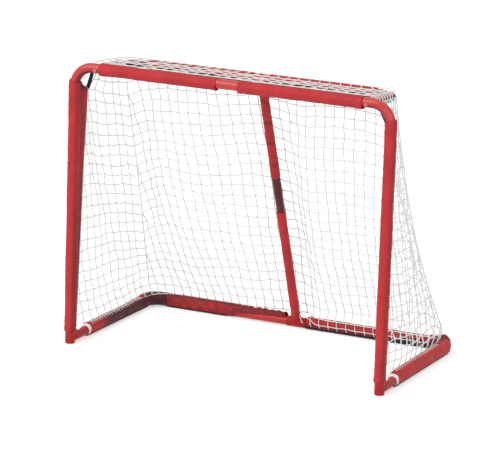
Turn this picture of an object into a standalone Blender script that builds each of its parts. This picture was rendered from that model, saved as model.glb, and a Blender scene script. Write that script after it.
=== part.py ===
"""Street-hockey goal: knock-down steel frame, slip-on fabric sleeves and a knotted net.

X runs along the crossbar, Y from the mouth to the back and Z up, in metres. The origin
is on the floor, in the middle of the goal's width and depth.
"""
import math

import bmesh
import bpy
from mathutils import Matrix, Vector

for old in list(bpy.data.objects):
    bpy.data.objects.remove(old, do_unlink=True)

# Frame sizes, between the tubes' centre lines
GOAL_WIDTH = 1.283
GOAL_HEIGHT = 1.073
GOAL_DEPTH = 0.670
ARM_INSET = 0.0925        # shelf arm, inwards from the post
SHELF_DEPTH = 0.270
SHELF_FALL = 0.018        # rear shelf bar, below the crossbar
ARM_FALL = 0.006          # shelf arm at the crossbar, below its centre line
FRONT_BEND = 0.075
BASE_BEND = 0.060
SHELF_BEND = 0.075

# Tubes
FRAME_TUBE = 0.0380
BASE_TUBE = 0.0350
SHELF_TUBE = 0.0286
STRUT_TUBE = 0.0286
TUBE_WALL = 0.0015
CLEARANCE = 0.0003        # between pieces that touch
SIDES = 16
BEND_STEPS = 6
CUT_REACH = 2             # length of a cutting guide, in diameters of what it cuts

# Front frame's middle joint, feet and stubs
SPIGOT_LENGTH = 0.160
FOOT_FLANGE = 0.0028
FOOT_PLUG = 0.014
STUB_LENGTH = 0.150
BASE_BAR_SETBACK = 0.0032  # between a post and the front end of its base bar
BASE_LIFT = 0.0030        # base tubes above the floor

# Snap buttons
BUTTON_SETBACK = 0.067    # behind the post's centre line
BUTTON_RADIUS = 0.0040
BUTTON_RISE = 0.0045      # above the base bar
BUTTON_FLANGE_RADIUS = 0.0058
BUTTON_FLANGE = 0.0010
SPRING_STRIP = 0.0008
SPRING_WIDTH = 0.0070
SPRING_REACH = 0.045      # from the button back to the fold of the V
SPRING_FOLD = 0.0024      # radius of that fold
BUTTON_SIDES = 12

# Tees, coupling and strut
TEE_WALL = 0.0020
BASE_TEE_LENGTH = 0.080
SHELF_TEE_LENGTH = 0.060
SOCKET_LENGTH = 0.050
BASE_SOCKET_FLARE = 0.0060
SHELF_SOCKET_FLARE = 0.0010
COUPLING_LENGTH = 0.155
COUPLING_CENTRE = 0.464   # share of the strut's length, from the top

# Shelf bolts and their inserts
BOLT_RADIUS = 0.0038
BOLT_HEAD_RADIUS = 0.0080
BOLT_HEAD = 0.0045
BOLT_LENGTH = 0.062
INSERT_LENGTH = 0.030
INSERT_SETBACK = 0.028    # behind the crossbar's centre line

# Sleeves on the front frame, shelf and strut
SLEEVE_WALL = 0.0032
THIN_SLEEVE_WALL = 0.0026
POST_SLEEVE_BOTTOM = 0.047
POST_SLEEVE_INSET = 0.013  # between the top of its tail and the corner bend
POST_SLEEVE_BEND_STEPS = 1  # of the corner bend's, that its upper end covers
CROSSBAR_SLEEVE_INSET = 0.0015  # between its outer end and the shelf arm
CROSSBAR_BARE_LEFT = 0.050
CROSSBAR_BARE_RIGHT = 0.039
SHELF_SLEEVE_INSET = 0.006  # between its outer end and the corner bend
TAIL_LENGTH = 0.0541      # from the post's centre line
TAIL_ANGLE = math.radians(56.3)  # at its top, from straight inwards towards straight back
TAIL_FOOT_ANGLE = math.radians(88)  # and at its foot
TAIL_SHOULDER = 0.036     # its length above its top, where the corner bend starts
TAIL_TIP = 0.0030
TAIL_STEPS = 5
TAILED_SIDES = 18
SHELF_STRIP_SPAN = (0, -80)  # its edges, in degrees up from straight forward
STRIP_THICKNESS = 0.0012

# Sleeves on the base frame
BASE_SLEEVE_WALL = 0.0012
SIDE_SLEEVE_WIDTH = 0.047
REAR_SLEEVE_WIDTH = 0.045
BASE_SLEEVE_TOP = 0.054
SIDE_SLEEVE_START = 0.131
REAR_SLEEVE_INSET = 0.0155  # between its outer end and the corner bend
REAR_SLEEVE_STOP = 0.046
DRAWN_UP_FROM = 0.300     # bare tube shows from here to the strut
DRAWN_UP_SLANT = 0.060    # along the bar, where the left rear sleeve's edge rises
DRAWN_UP_FRONT = 0.031    # height of that edge in front
DRAWN_UP_BACK = 0.012     # and behind
CUFF_LENGTH = 0.012
CUFF_WIDTH = 0.043
CUFF_TOP = 0.046
STRIP_OVERHANG = 0.002    # of a side wear strip, in front of the cuff
STRIP_SHARE = 0.22        # of a sleeve's height that its wear strip covers
SLEEVE_SIDES = 20
LOOSENESS = 0.77          # 1 for an ellipse, less for a boxier section

# Corner straps
STRAP_WIDTH = 0.013
STRAP_THICKNESS = 0.0020
STRAP_TOP_INSET = 0.0690  # upper end, inwards from the post's centre line

# Nets: square cells of twine
TWINE = 0.0030
SEAM = math.radians(60)   # of the rear corner's turn that the back net covers
TIED_TO_POST = 0.88       # height share up to which a side net's front edge is tied
DRAW_IN = 0.16            # depth over which that edge is drawn in
BACK_CELLS = (13, 10)
SIDE_CELLS = (5, 10)
TOP_CELLS = (13, 3)

# Lacing along the right half of the rear bar
CORD = 0.0026
LACE_PITCH = 0.0450
LACE_START = 0.068
LACE_STANDOFF = 0.0026    # of the cord's centre line, off the sleeve
LACE_STITCH = ((-0.018, 10), (-0.004, 14), (-0.003, 45), (0, 70), (0.003, 45), (0.004, 14))

# Radii and heights that follow from the sizes above
FRAME_R = FRAME_TUBE / 2
BASE_R = BASE_TUBE / 2
SHELF_R = SHELF_TUBE / 2
STRUT_R = STRUT_TUBE / 2
STUB_R = BASE_R - TUBE_WALL - CLEARANCE
STUB_BORE = STUB_R - TUBE_WALL
SLEEVE_R = FRAME_R + CLEARANCE + SLEEVE_WALL
SHELF_SLEEVE_R = SHELF_R + CLEARANCE + SLEEVE_WALL
STRUT_SLEEVE_R = STRUT_R + CLEARANCE + THIN_SLEEVE_WALL
BASE_TEE_R = BASE_R + CLEARANCE + TEE_WALL
SHELF_TEE_R = SHELF_R + CLEARANCE + TEE_WALL
SOCKET_R = STRUT_R + CLEARANCE + TEE_WALL
BASE_Z = BASE_LIFT + BASE_R
SHELF_Z = GOAL_HEIGHT - SHELF_FALL
ARM_Z = GOAL_HEIGHT - ARM_FALL
ARM_SLOPE = (ARM_Z - SHELF_Z) / SHELF_DEPTH
SLEEVE_FLOOR = STRIP_THICKNESS + CLEARANCE
NET_GAP = CLEARANCE + TWINE / 2

# Strut direction, and where the net that passes behind the strut lies
STRUT_RUN = Vector((0, GOAL_DEPTH - SHELF_DEPTH, BASE_Z - SHELF_Z))
STRUT_LINE = STRUT_RUN.normalized()
STRUT_PASS = NET_GAP + (SOCKET_R + BASE_SOCKET_FLARE) / -STRUT_LINE.z

# Places of the centre lines
POST_X = GOAL_WIDTH / 2
ARM_X = POST_X - ARM_INSET
FRONT_REACH = FRAME_R + CLEARANCE + BOLT_HEAD
REAR_REACH = STRUT_PASS + TWINE / 2
MOUTH_Y = -(GOAL_DEPTH + REAR_REACH - FRONT_REACH) / 2
REAR_Y = MOUTH_Y + GOAL_DEPTH
SHELF_Y = MOUTH_Y + SHELF_DEPTH
STRUT_TOP = Vector((0, SHELF_Y, SHELF_Z))
STRUT_FOOT = STRUT_TOP + STRUT_RUN
POST_SLEEVE_TOP = GOAL_HEIGHT - FRONT_BEND - POST_SLEEVE_INSET
REAR_SLEEVE_START = POST_X - BASE_BEND - REAR_SLEEVE_INSET

HANDS = (("left", -1), ("right", 1))
X = Vector((1, 0, 0))
Y = Vector((0, 1, 0))
Z = Vector((0, 0, 1))


def finish(name, colour, roughness, metallic=0.0):
    """A plain painted, plated or woven finish."""
    material = bpy.data.materials.new(name)
    material.use_nodes = True
    shader = material.node_tree.nodes["Principled BSDF"]
    shader.inputs["Base Color"].default_value = (*colour, 1.0)
    shader.inputs["Roughness"].default_value = roughness
    shader.inputs["Metallic"].default_value = metallic
    material.diffuse_color = (*colour, 1.0)
    return material


def red_paint(name):
    return finish(name, (0.60, 0.020, 0.030), 0.32)


def maroon_paint(name):
    return finish(name, (0.20, 0.025, 0.035), 0.45)


def red_nylon(name):
    return finish(name, (0.52, 0.028, 0.035), 0.75)


def black_webbing(name):
    return finish(name, (0.020, 0.018, 0.020), 0.85)


def white_elastic(name):
    return finish(name, (0.80, 0.78, 0.75), 0.80)


def white_twine(name):
    return finish(name, (0.82, 0.82, 0.80), 0.80)


def zinc(name):
    return finish(name, (0.70, 0.70, 0.70), 0.30, 1.0)


def red_plastic(name):
    return finish(name, (0.55, 0.020, 0.030), 0.40)


def add_object(name, bm, look, smooth=30.0):
    """Turn a bmesh into a named object with outward faces and its own material."""
    bmesh.ops.recalc_face_normals(bm, faces=bm.faces)
    mesh = bpy.data.meshes.new(name)
    bm.to_mesh(mesh)
    bm.free()
    mesh.shade_smooth()
    mesh.set_sharp_from_angle(angle=math.radians(smooth))
    obj = bpy.data.objects.new(name, mesh)
    bpy.context.collection.objects.link(obj)
    mesh.materials.append(look(name + "_finish"))
    return obj


def boolean(target, tool, operation):
    """Cut target with tool, or join them, and keep tool as a hidden guide."""
    tool.hide_render = True
    tool.display_type = "WIRE"
    modifier = target.modifiers.new(tool.name, "BOOLEAN")
    modifier.operation = operation
    modifier.solver = "EXACT"
    modifier.object = tool


def mix(low, high, t):
    return low + (high - low) * t


def rounded_path(corners, radius, steps):
    """Points and directions along straight runs that are joined by arcs."""
    first = (corners[1] - corners[0]).normalized()
    path = [(corners[0], first)]
    for before, corner, after in zip(corners, corners[1:], corners[2:]):
        into = (corner - before).normalized()
        out = (after - corner).normalized()
        turn = into.angle(out)
        start = corner - into * radius * math.tan(turn / 2)
        centre = start + (out - into * into.dot(out)).normalized() * radius
        axis = into.cross(out).normalized()
        for k in range(steps + 1):
            swing = Matrix.Rotation(turn * k / steps, 3, axis)
            path.append((centre + swing @ (start - centre), swing @ into))
    path.append((corners[-1], (corners[-1] - corners[-2]).normalized()))
    return path


def straight(start, end):
    return [(start, (end - start).normalized()), (end, (end - start).normalized())]


def circle(radius, sides=SIDES):
    turn = 2 * math.pi / sides
    return [(radius * math.cos(turn * k), radius * math.sin(turn * k)) for k in range(sides)]


def rings(path, up, profile):
    """The profile, set square to the path at each of its points."""
    result = []
    for point, along in path:
        lift = (up - along * up.dot(along)).normalized()
        across = along.cross(lift)
        result.append([point + across * a + lift * b for a, b in profile])
    return result


def skin(bm, loops):
    """Join loops of points to their neighbours, and return the vertices."""
    verts = [[bm.verts.new(p) for p in loop] for loop in loops]
    count = len(verts[0])
    for low, high in zip(verts, verts[1:]):
        for i in range(count):
            j = (i + 1) % count
            bm.faces.new((low[i], low[j], high[j], high[i]))
    return verts


def wall_between(name, outer_rings, inner_rings, look):
    """A tube from its outer and inner rings, open at both ends."""
    bm = bmesh.new()
    outside = skin(bm, outer_rings)
    inside = skin(bm, inner_rings)
    count = len(outside[0])
    for end in (0, -1):
        for i in range(count):
            j = (i + 1) % count
            bm.faces.new((outside[end][i], outside[end][j], inside[end][j], inside[end][i]))
    return add_object(name, bm, look)


def hollow(name, path, up, outer, inner, look):
    """A tube of one section all along, open at both ends."""
    return wall_between(name, rings(path, up, outer), rings(path, up, inner), look)


def tube(name, path, up, radius, wall, look, sides=SIDES):
    return hollow(name, path, up, circle(radius, sides), circle(radius - wall, sides), look)


def bar(name, path, up, profile, look):
    """A solid bar of any section."""
    bm = bmesh.new()
    loops = skin(bm, rings(path, up, profile))
    bm.faces.new(loops[0])
    bm.faces.new(loops[-1])
    return add_object(name, bm, look)


def rod(name, centre, direction, radius, length, radius_end=None, sides=SIDES):
    """A plain round guide that cuts or joins another piece."""
    bm = bmesh.new()
    far = radius if radius_end is None else radius_end
    half = direction * (length / 2)
    frame = straight(centre - half, centre + half)
    side = Y if abs(direction.dot(Y)) < 0.7 else X
    near_ring = rings(frame[:1], side, circle(radius, sides))[0]
    far_ring = rings(frame[1:], side, circle(far, sides))[0]
    loops = skin(bm, [near_ring, far_ring])
    bm.faces.new(loops[0])
    bm.faces.new(loops[-1])
    return add_object(name, bm, red_paint)


def turn_solid(bm, profile, place, sides=SIDES):
    """Spin a profile of (radius, height) points round its axis, set by a matrix."""
    loops = []
    for radius, height in profile:
        if radius == 0:
            loops.append([bm.verts.new(place @ Vector((0, 0, height)))])
        else:
            ring = circle(radius, sides)
            loops.append([bm.verts.new(place @ Vector((a, b, height))) for a, b in ring])
    for low, high in zip(loops, loops[1:]):
        for i in range(sides):
            j = (i + 1) % sides
            corners = [low[i % len(low)], low[j % len(low)], high[j % len(high)], high[i % len(high)]]
            bm.faces.new(list(dict.fromkeys(corners)))


def dome(radius, base, height, steps=3):
    """Profile points of a low dome, from its rim to its crown."""
    return [(radius * math.cos(math.pi / 2 * k / steps) if k < steps else 0,
             base + height * math.sin(math.pi / 2 * k / steps)) for k in range(steps + 1)]


def loose_section(width, bottom, top, inset=0.0):
    """A flat-footed, loosely rounded section, as heights above the floor."""
    turn = 2 * math.pi / SLEEVE_SIDES
    low = bottom + inset
    high = top - inset
    reach = abs(math.sin(turn * (SLEEVE_SIDES // 4 + 0.5))) ** LOOSENESS
    points = []
    for k in range(SLEEVE_SIDES):
        angle = turn * (k + 0.5)
        c = math.copysign(abs(math.cos(angle)) ** LOOSENESS, math.cos(angle))
        s = math.copysign(abs(math.sin(angle)) ** LOOSENESS, math.sin(angle)) / reach
        points.append(((width / 2 - inset) * c, (low + high) / 2 + (high - low) / 2 * s))
    return points


def round_bore_in(section, centre_height, radius):
    """A polygon round a circle, with a corner at the bearing of each point of a section."""
    bearings = [math.atan2(b - centre_height, a) for a, b in section]
    widest = max((after - before) % math.tau for before, after in zip(bearings, bearings[1:]))
    reach = radius / math.cos(widest / 2)
    return [(reach * math.cos(t), centre_height + reach * math.sin(t)) for t in bearings]


# Front frame: two bent halves, their spigot, plugs, stubs and sleeves
def build_front_frame():
    joint = CLEARANCE / 2
    tube_bottom = FOOT_FLANGE + CLEARANCE
    for hand, side in HANDS:
        corners = [Vector((side * POST_X, MOUTH_Y, tube_bottom)),
                   Vector((side * POST_X, MOUTH_Y, GOAL_HEIGHT)),
                   Vector((side * joint, MOUTH_Y, GOAL_HEIGHT))]
        half = tube("frame_half_" + hand, rounded_path(corners, FRONT_BEND, BEND_STEPS), Y,
                    FRAME_R, TUBE_WALL, red_paint)
        hole = rod("bolt_hole_" + hand, Vector((side * ARM_X, MOUTH_Y, ARM_Z)), Y,
                   BOLT_RADIUS + CLEARANCE, FRAME_TUBE * CUT_REACH)
        boolean(half, hole, "DIFFERENCE")
        build_foot(hand, side, tube_bottom)
    spigot_r = FRAME_R - TUBE_WALL - CLEARANCE
    reach = X * (SPIGOT_LENGTH / 2)
    middle = Vector((0, MOUTH_Y, GOAL_HEIGHT))
    tube("crossbar_spigot", straight(middle - reach, middle + reach), Y,
         spigot_r, TUBE_WALL, red_paint)


def build_foot(hand, side, tube_bottom):
    """The plug under a post and the stub that is welded to its side."""
    plug_r = FRAME_R - TUBE_WALL - CLEARANCE
    bm = bmesh.new()
    profile = [(0, 0), (FRAME_R, 0), (FRAME_R, FOOT_FLANGE), (plug_r, FOOT_FLANGE),
               (plug_r, FOOT_PLUG), (0, FOOT_PLUG)]
    turn_solid(bm, profile, Matrix.Translation((side * POST_X, MOUTH_Y, 0)))
    add_object("foot_plug_" + hand, bm, red_plastic)
    axis_start = Vector((side * POST_X, MOUTH_Y, BASE_Z))
    stub = tube("foot_stub_" + hand, straight(axis_start, axis_start + Y * STUB_LENGTH), Z,
                STUB_R, TUBE_WALL, red_paint)
    cope = rod("post_cope_" + hand, axis_start, Z, FRAME_R + CLEARANCE,
               BASE_TUBE * CUT_REACH, sides=SIDES * 2)
    boolean(stub, cope, "DIFFERENCE")
    boolean(stub, button_hole("stub", hand, side), "DIFFERENCE")


def button_hole(piece, hand, side):
    """The round hole in the top of a base tube, in front of the spring clip's fold."""
    centre = Vector((side * POST_X, MOUTH_Y + BUTTON_SETBACK, BASE_Z + BASE_R))
    return rod(piece + "_button_hole_" + hand, centre, Z, BUTTON_RADIUS + CLEARANCE, BASE_TUBE / 2)


def build_snap_clip(hand, side):
    """The button in its holes, and the V spring behind it inside the stub."""
    place = Matrix.Translation((side * POST_X, MOUTH_Y + BUTTON_SETBACK, BASE_Z))
    under_wall = math.sqrt(STUB_BORE ** 2 - BUTTON_FLANGE_RADIUS ** 2)
    under_wall *= math.cos(math.pi / SIDES)
    flange_top = under_wall - CLEARANCE
    flange_low = flange_top - BUTTON_FLANGE
    shoulder = BASE_R + BUTTON_RISE / 3
    profile = [(0, flange_low), (BUTTON_FLANGE_RADIUS, flange_low),
               (BUTTON_FLANGE_RADIUS, flange_top), (BUTTON_RADIUS, flange_top)]
    profile += dome(BUTTON_RADIUS, shoulder, BUTTON_RISE * 2 / 3)
    bm = bmesh.new()
    turn_solid(bm, profile, Matrix.Identity(4), BUTTON_SIDES)
    button = add_object("snap_button_" + hand, bm, zinc)
    button.matrix_world = place
    half_strip = SPRING_STRIP / 2
    upper = flange_low - CLEARANCE - half_strip
    wall = math.sqrt(STUB_BORE ** 2 - (SPRING_WIDTH / 2) ** 2) * math.cos(math.pi / SIDES)
    lower = -wall + CLEARANCE + half_strip
    centre = Vector((side * POST_X, MOUTH_Y + BUTTON_SETBACK, BASE_Z))
    corners = [centre - Y * BUTTON_FLANGE_RADIUS + Z * upper,
               centre + Y * (BUTTON_FLANGE_RADIUS * 2) + Z * upper,
               centre + Y * SPRING_REACH + Z * (upper + lower) / 2,
               centre - Y * BUTTON_FLANGE_RADIUS + Z * lower]
    path = rounded_path(corners, SPRING_FOLD, BEND_STEPS // 2)
    strip = [(-half_strip, -SPRING_WIDTH / 2), (half_strip, -SPRING_WIDTH / 2),
             (half_strip, SPRING_WIDTH / 2), (-half_strip, SPRING_WIDTH / 2)]
    bar("snap_spring_" + hand, path, X, strip, zinc)


# Base frame: two bars bent at the rear corners, and the tee between them
def build_base_bar(hand, side):
    corners = [Vector((side * POST_X, MOUTH_Y + FRAME_R + BASE_BAR_SETBACK, BASE_Z)),
               Vector((side * POST_X, REAR_Y, BASE_Z)),
               Vector((side * CLEARANCE / 2, REAR_Y, BASE_Z))]
    base = tube("base_bar_" + hand, rounded_path(corners, BASE_BEND, BEND_STEPS), Z,
                BASE_R, TUBE_WALL, red_paint)
    boolean(base, button_hole("bar", hand, side), "DIFFERENCE")


def build_tee(name, centre, direction, tube_r, tee_r, length, widening):
    """A sleeve round a cross tube, with a flared socket for the strut."""
    body = rod(name, centre, X, tee_r, length)
    body.data.materials[0] = red_paint(name + "_paint")
    reach = tee_r + SOCKET_LENGTH
    flare = rod(name + "_flare", centre + direction * reach / 2, direction,
                SOCKET_R + widening, reach, SOCKET_R)
    seat = tee_r + CLEARANCE
    depth = SOCKET_LENGTH * CUT_REACH
    socket = rod(name + "_socket_bore", centre + direction * (seat + depth / 2), direction,
                 STRUT_R + CLEARANCE, depth)
    bore = rod(name + "_bore", centre, X, tube_r + CLEARANCE, length * CUT_REACH)
    boolean(body, flare, "UNION")
    boolean(body, socket, "DIFFERENCE")
    boolean(body, bore, "DIFFERENCE")


# Shelf frame at the top, its tee, bolts and inserts
def shelf_path(side):
    corners = [Vector((side * ARM_X, MOUTH_Y, ARM_Z)),
               Vector((side * ARM_X, SHELF_Y, SHELF_Z)),
               Vector((side * CLEARANCE / 2, SHELF_Y, SHELF_Z))]
    return rounded_path(corners, SHELF_BEND, BEND_STEPS)


def build_shelf_bar(hand, side):
    arm = Vector((0, SHELF_DEPTH, SHELF_Z - ARM_Z)).normalized()
    shelf = tube("shelf_bar_" + hand, shelf_path(side), X.cross(arm), SHELF_R, TUBE_WALL, red_paint)
    cope = rod("crossbar_cope_" + hand, Vector((side * ARM_X, MOUTH_Y, GOAL_HEIGHT)), X,
               FRAME_R + CLEARANCE, SHELF_TUBE * CUT_REACH, sides=SIDES * 2)
    boolean(shelf, cope, "DIFFERENCE")


def build_shelf_fastener(hand, side):
    """The domed bolt through the crossbar, and the insert that it screws into."""
    head_back = FRAME_R + CLEARANCE
    place = Matrix.Translation((side * ARM_X, MOUTH_Y, ARM_Z)) @ Matrix.Rotation(math.pi / 2, 4, "X")
    profile = [(0, head_back - BOLT_LENGTH), (BOLT_RADIUS, head_back - BOLT_LENGTH),
               (BOLT_RADIUS, head_back)]
    bm = bmesh.new()
    turn_solid(bm, profile + dome(BOLT_HEAD_RADIUS, head_back, BOLT_HEAD), place)
    add_object("shelf_bolt_" + hand, bm, red_paint)

    near = Vector((side * ARM_X, MOUTH_Y + INSERT_SETBACK, ARM_Z - INSERT_SETBACK * ARM_SLOPE))
    far = near + Vector((0, INSERT_LENGTH, -INSERT_LENGTH * ARM_SLOPE))
    insert = bar("shelf_insert_" + hand, straight(near, far), Z,
                 circle(SHELF_R - TUBE_WALL - CLEARANCE), zinc)
    bore = rod("insert_bore_" + hand, Vector((side * ARM_X, near.y, ARM_Z)), Y,
               BOLT_RADIUS + CLEARANCE, INSERT_LENGTH * CUT_REACH)
    boolean(insert, bore, "DIFFERENCE")


# Strut from the shelf bar down to the rear base bar
def along_strut(distance):
    return STRUT_TOP + STRUT_LINE * distance


def build_strut():
    top_seat = SHELF_TEE_R + CLEARANCE * 2
    foot_seat = STRUT_RUN.length - BASE_TEE_R - CLEARANCE * 2
    middle = STRUT_RUN.length * COUPLING_CENTRE
    tube("strut_upper", straight(along_strut(top_seat), along_strut(middle - CLEARANCE / 2)), X,
         STRUT_R, TUBE_WALL, red_paint)
    tube("strut_lower", straight(along_strut(middle + CLEARANCE / 2), along_strut(foot_seat)), X,
         STRUT_R, TUBE_WALL, red_paint)
    coupling_top = middle - COUPLING_LENGTH / 2
    coupling_foot = middle + COUPLING_LENGTH / 2
    tube("strut_coupling", straight(along_strut(coupling_top), along_strut(coupling_foot)), X,
         STRUT_R + CLEARANCE + TUBE_WALL, TUBE_WALL, maroon_paint)
    socket_top = SHELF_TEE_R + SOCKET_LENGTH + CLEARANCE
    socket_foot = STRUT_RUN.length - BASE_TEE_R - SOCKET_LENGTH - CLEARANCE
    upper = straight(along_strut(socket_top), along_strut(coupling_top - CLEARANCE))
    lower = straight(along_strut(coupling_foot + CLEARANCE), along_strut(socket_foot))
    tube("strut_sleeve_upper", upper, X, STRUT_SLEEVE_R, THIN_SLEEVE_WALL, red_nylon)
    tube("strut_sleeve_lower", lower, X, STRUT_SLEEVE_R, THIN_SLEEVE_WALL, red_nylon)


# Fabric sleeves
def tail_angle(height):
    """How far the tail has turned towards straight back: the lower, the further."""
    share = (height - POST_SLEEVE_BOTTOM) / (POST_SLEEVE_TOP - POST_SLEEVE_BOTTOM)
    return mix(TAIL_FOOT_ANGLE, TAIL_ANGLE, min(1.0, max(0.0, share)))


def tailed_sections(inward, angle, reach):
    """A sleeve's section with a tail that points inwards and back from the post."""
    tail = angle if inward > 0 else math.pi - angle
    tip = math.asin(TAIL_TIP / 2 / reach)
    step = math.tau / TAILED_SIDES
    round_part = [tail + step * k for k in range(1, TAILED_SIDES)]
    bearings = [tail - tip, tail + tip] + round_part
    reaches = [reach] * 2 + [SLEEVE_R] * len(round_part)
    outer = [(r * math.cos(t), r * math.sin(t)) for t, r in zip(bearings, reaches)]
    bore = (FRAME_R + CLEARANCE) / math.cos(step / 2)
    inner = [(bore * math.cos(t), bore * math.sin(t)) for t in bearings]
    return outer, inner


def build_post_sleeve(hand, side):
    """Its tail turns back towards the foot, and its upper end follows the corner bend."""
    foot = Vector((side * POST_X, MOUTH_Y, POST_SLEEVE_BOTTOM))
    head = Vector((side * POST_X, MOUTH_Y, POST_SLEEVE_TOP))
    corners = [foot, Vector((side * POST_X, MOUTH_Y, GOAL_HEIGHT)),
               Vector((0, MOUTH_Y, GOAL_HEIGHT))]
    bend = rounded_path(corners, FRONT_BEND, BEND_STEPS)[1:]
    path = [(foot.lerp(head, k / TAIL_STEPS), Z) for k in range(TAIL_STEPS + 1)]
    reaches = [TAIL_LENGTH] * len(path) + [TAIL_SHOULDER] + [SLEEVE_R] * POST_SLEEVE_BEND_STEPS
    path += bend[:1 + POST_SLEEVE_BEND_STEPS]
    outer_rings, inner_rings = [], []
    for place, reach in zip(path, reaches):
        outer, inner = tailed_sections(side, tail_angle(place[0].z), reach)
        outer_rings += rings([place], Y, outer)
        inner_rings += rings([place], Y, inner)
    wall_between("post_sleeve_" + hand, outer_rings, inner_rings, red_nylon)


def build_front_sleeves(hand, side):
    build_post_sleeve(hand, side)
    bare = CROSSBAR_BARE_LEFT if side < 0 else CROSSBAR_BARE_RIGHT
    start = Vector((side * (ARM_X - SHELF_R - CROSSBAR_SLEEVE_INSET), MOUTH_Y, GOAL_HEIGHT))
    stop = Vector((side * bare, MOUTH_Y, GOAL_HEIGHT))
    tube("crossbar_sleeve_" + hand, straight(start, stop), Y, SLEEVE_R, SLEEVE_WALL, red_nylon)


def build_shelf_sleeve(hand, side):
    """A sleeve on the top rear bar, and the black strip that closes it at the front."""
    start = Vector((side * (ARM_X - SHELF_BEND - SHELF_SLEEVE_INSET), SHELF_Y, SHELF_Z))
    end = Vector((side * (SHELF_TEE_LENGTH / 2 + CLEARANCE), SHELF_Y, SHELF_Z))
    tube("shelf_sleeve_" + hand, straight(start, end), Y, SHELF_SLEEVE_R, SLEEVE_WALL, red_nylon)
    path = straight(*sorted((start, end), key=lambda p: p.x))
    bar("shelf_strip_" + hand, path, Z, strip_on_circle(SHELF_SLEEVE_R, *SHELF_STRIP_SPAN),
        black_webbing)


def strip_on_circle(radius, first, last, steps=5):
    """A thin strip that lies round part of a tube, between two bearings in degrees."""
    inner_r = radius + CLEARANCE
    outer_r = inner_r + STRIP_THICKNESS
    turns = [math.radians(first + (last - first) * k / steps) for k in range(steps + 1)]
    outer = [(outer_r * math.cos(t), outer_r * math.sin(t)) for t in turns]
    inner = [(inner_r * math.cos(t), inner_r * math.sin(t)) for t in reversed(turns)]
    return outer + inner


def base_sleeve_sections(width):
    outer = loose_section(width, SLEEVE_FLOOR, BASE_SLEEVE_TOP)
    inner = loose_section(width, SLEEVE_FLOOR, BASE_SLEEVE_TOP, BASE_SLEEVE_WALL)
    return outer, inner


def wear_strip_section(width):
    """The black strip that lies under a base sleeve and turns up a little at its sides."""
    top = BASE_SLEEVE_TOP
    lying = loose_section(width, SLEEVE_FLOOR, top)
    gap = CLEARANCE
    inner = loose_section(width + 2 * gap, SLEEVE_FLOOR - gap, top + gap)
    reach = gap + STRIP_THICKNESS
    outer = loose_section(width + 2 * reach, SLEEVE_FLOOR - reach, top + reach)
    height = mix(SLEEVE_FLOOR, top, STRIP_SHARE)
    low = [k for k, (a, b) in enumerate(lying) if b < height]
    return [outer[k] for k in low] + [inner[k] for k in reversed(low)]


def on_floor(x, y):
    return Vector((x, y, 0))


def build_base_sleeves(hand, side):
    """Side sleeve round the rear corner, rear sleeve, wear strips and elastic cuff."""
    outer, inner = base_sleeve_sections(SIDE_SLEEVE_WIDTH)
    corners = [on_floor(side * POST_X, MOUTH_Y + SIDE_SLEEVE_START),
               on_floor(side * POST_X, REAR_Y),
               on_floor(side * (REAR_SLEEVE_START + CLEARANCE), REAR_Y)]
    path = rounded_path(corners, BASE_BEND, BEND_STEPS)
    hollow("side_sleeve_" + hand, path, Z, outer, inner, red_nylon)

    rear_outer, rear_inner = base_sleeve_sections(REAR_SLEEVE_WIDTH)
    rear = straight(on_floor(side * REAR_SLEEVE_START, REAR_Y),
                    on_floor(side * REAR_SLEEVE_STOP, REAR_Y))
    sleeve = hollow("rear_sleeve_" + hand, rear, Z, rear_outer, rear_inner, red_nylon)
    strip_stop = REAR_SLEEVE_STOP
    if side < 0:
        draw_up(sleeve)
        strip_stop = DRAWN_UP_FROM
    section = wear_strip_section(REAR_SLEEVE_WIDTH)
    rear_strip = straight(on_floor(side * REAR_SLEEVE_START, REAR_Y),
                          on_floor(side * strip_stop, REAR_Y))
    bar("rear_strip_" + hand, rear_strip, Z, section, black_webbing)

    section = wear_strip_section(SIDE_SLEEVE_WIDTH)
    strip_front = MOUTH_Y + SIDE_SLEEVE_START - CUFF_LENGTH - STRIP_OVERHANG
    side_strip = straight(on_floor(side * POST_X, strip_front),
                          on_floor(side * POST_X, REAR_Y - BASE_BEND))
    bar("side_strip_" + hand, side_strip, Z, section, black_webbing)

    cuff = loose_section(CUFF_WIDTH, SLEEVE_FLOOR, CUFF_TOP)
    bore = round_bore_in(cuff, BASE_Z, BASE_R + CLEARANCE)
    end = MOUTH_Y + SIDE_SLEEVE_START - CLEARANCE
    cuff_path = straight(on_floor(side * POST_X, end - CUFF_LENGTH), on_floor(side * POST_X, end))
    hollow("elastic_cuff_" + hand, cuff_path, Z, cuff, bore, white_elastic)


def draw_up(sleeve):
    """Cut away the sleeve's lower front, where it is drawn up off the bar."""
    near = REAR_Y - REAR_SLEEVE_WIDTH
    behind = REAR_Y + REAR_SLEEVE_WIDTH
    under = -BASE_Z
    outline = [(near, under), (behind, under), (behind, DRAWN_UP_BACK), (near, DRAWN_UP_FRONT)]
    slants = [0, 0, DRAWN_UP_SLANT, DRAWN_UP_SLANT]
    bm = bmesh.new()
    first = [Vector((slant - DRAWN_UP_FROM, y, z)) for slant, (y, z) in zip(slants, outline)]
    last = [Vector((0, y, z)) for y, z in outline]
    loops = skin(bm, [first, last])
    bm.faces.new(loops[0])
    bm.faces.new(loops[-1])
    boolean(sleeve, add_object("drawn_up_cut", bm, red_nylon), "DIFFERENCE")


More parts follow.
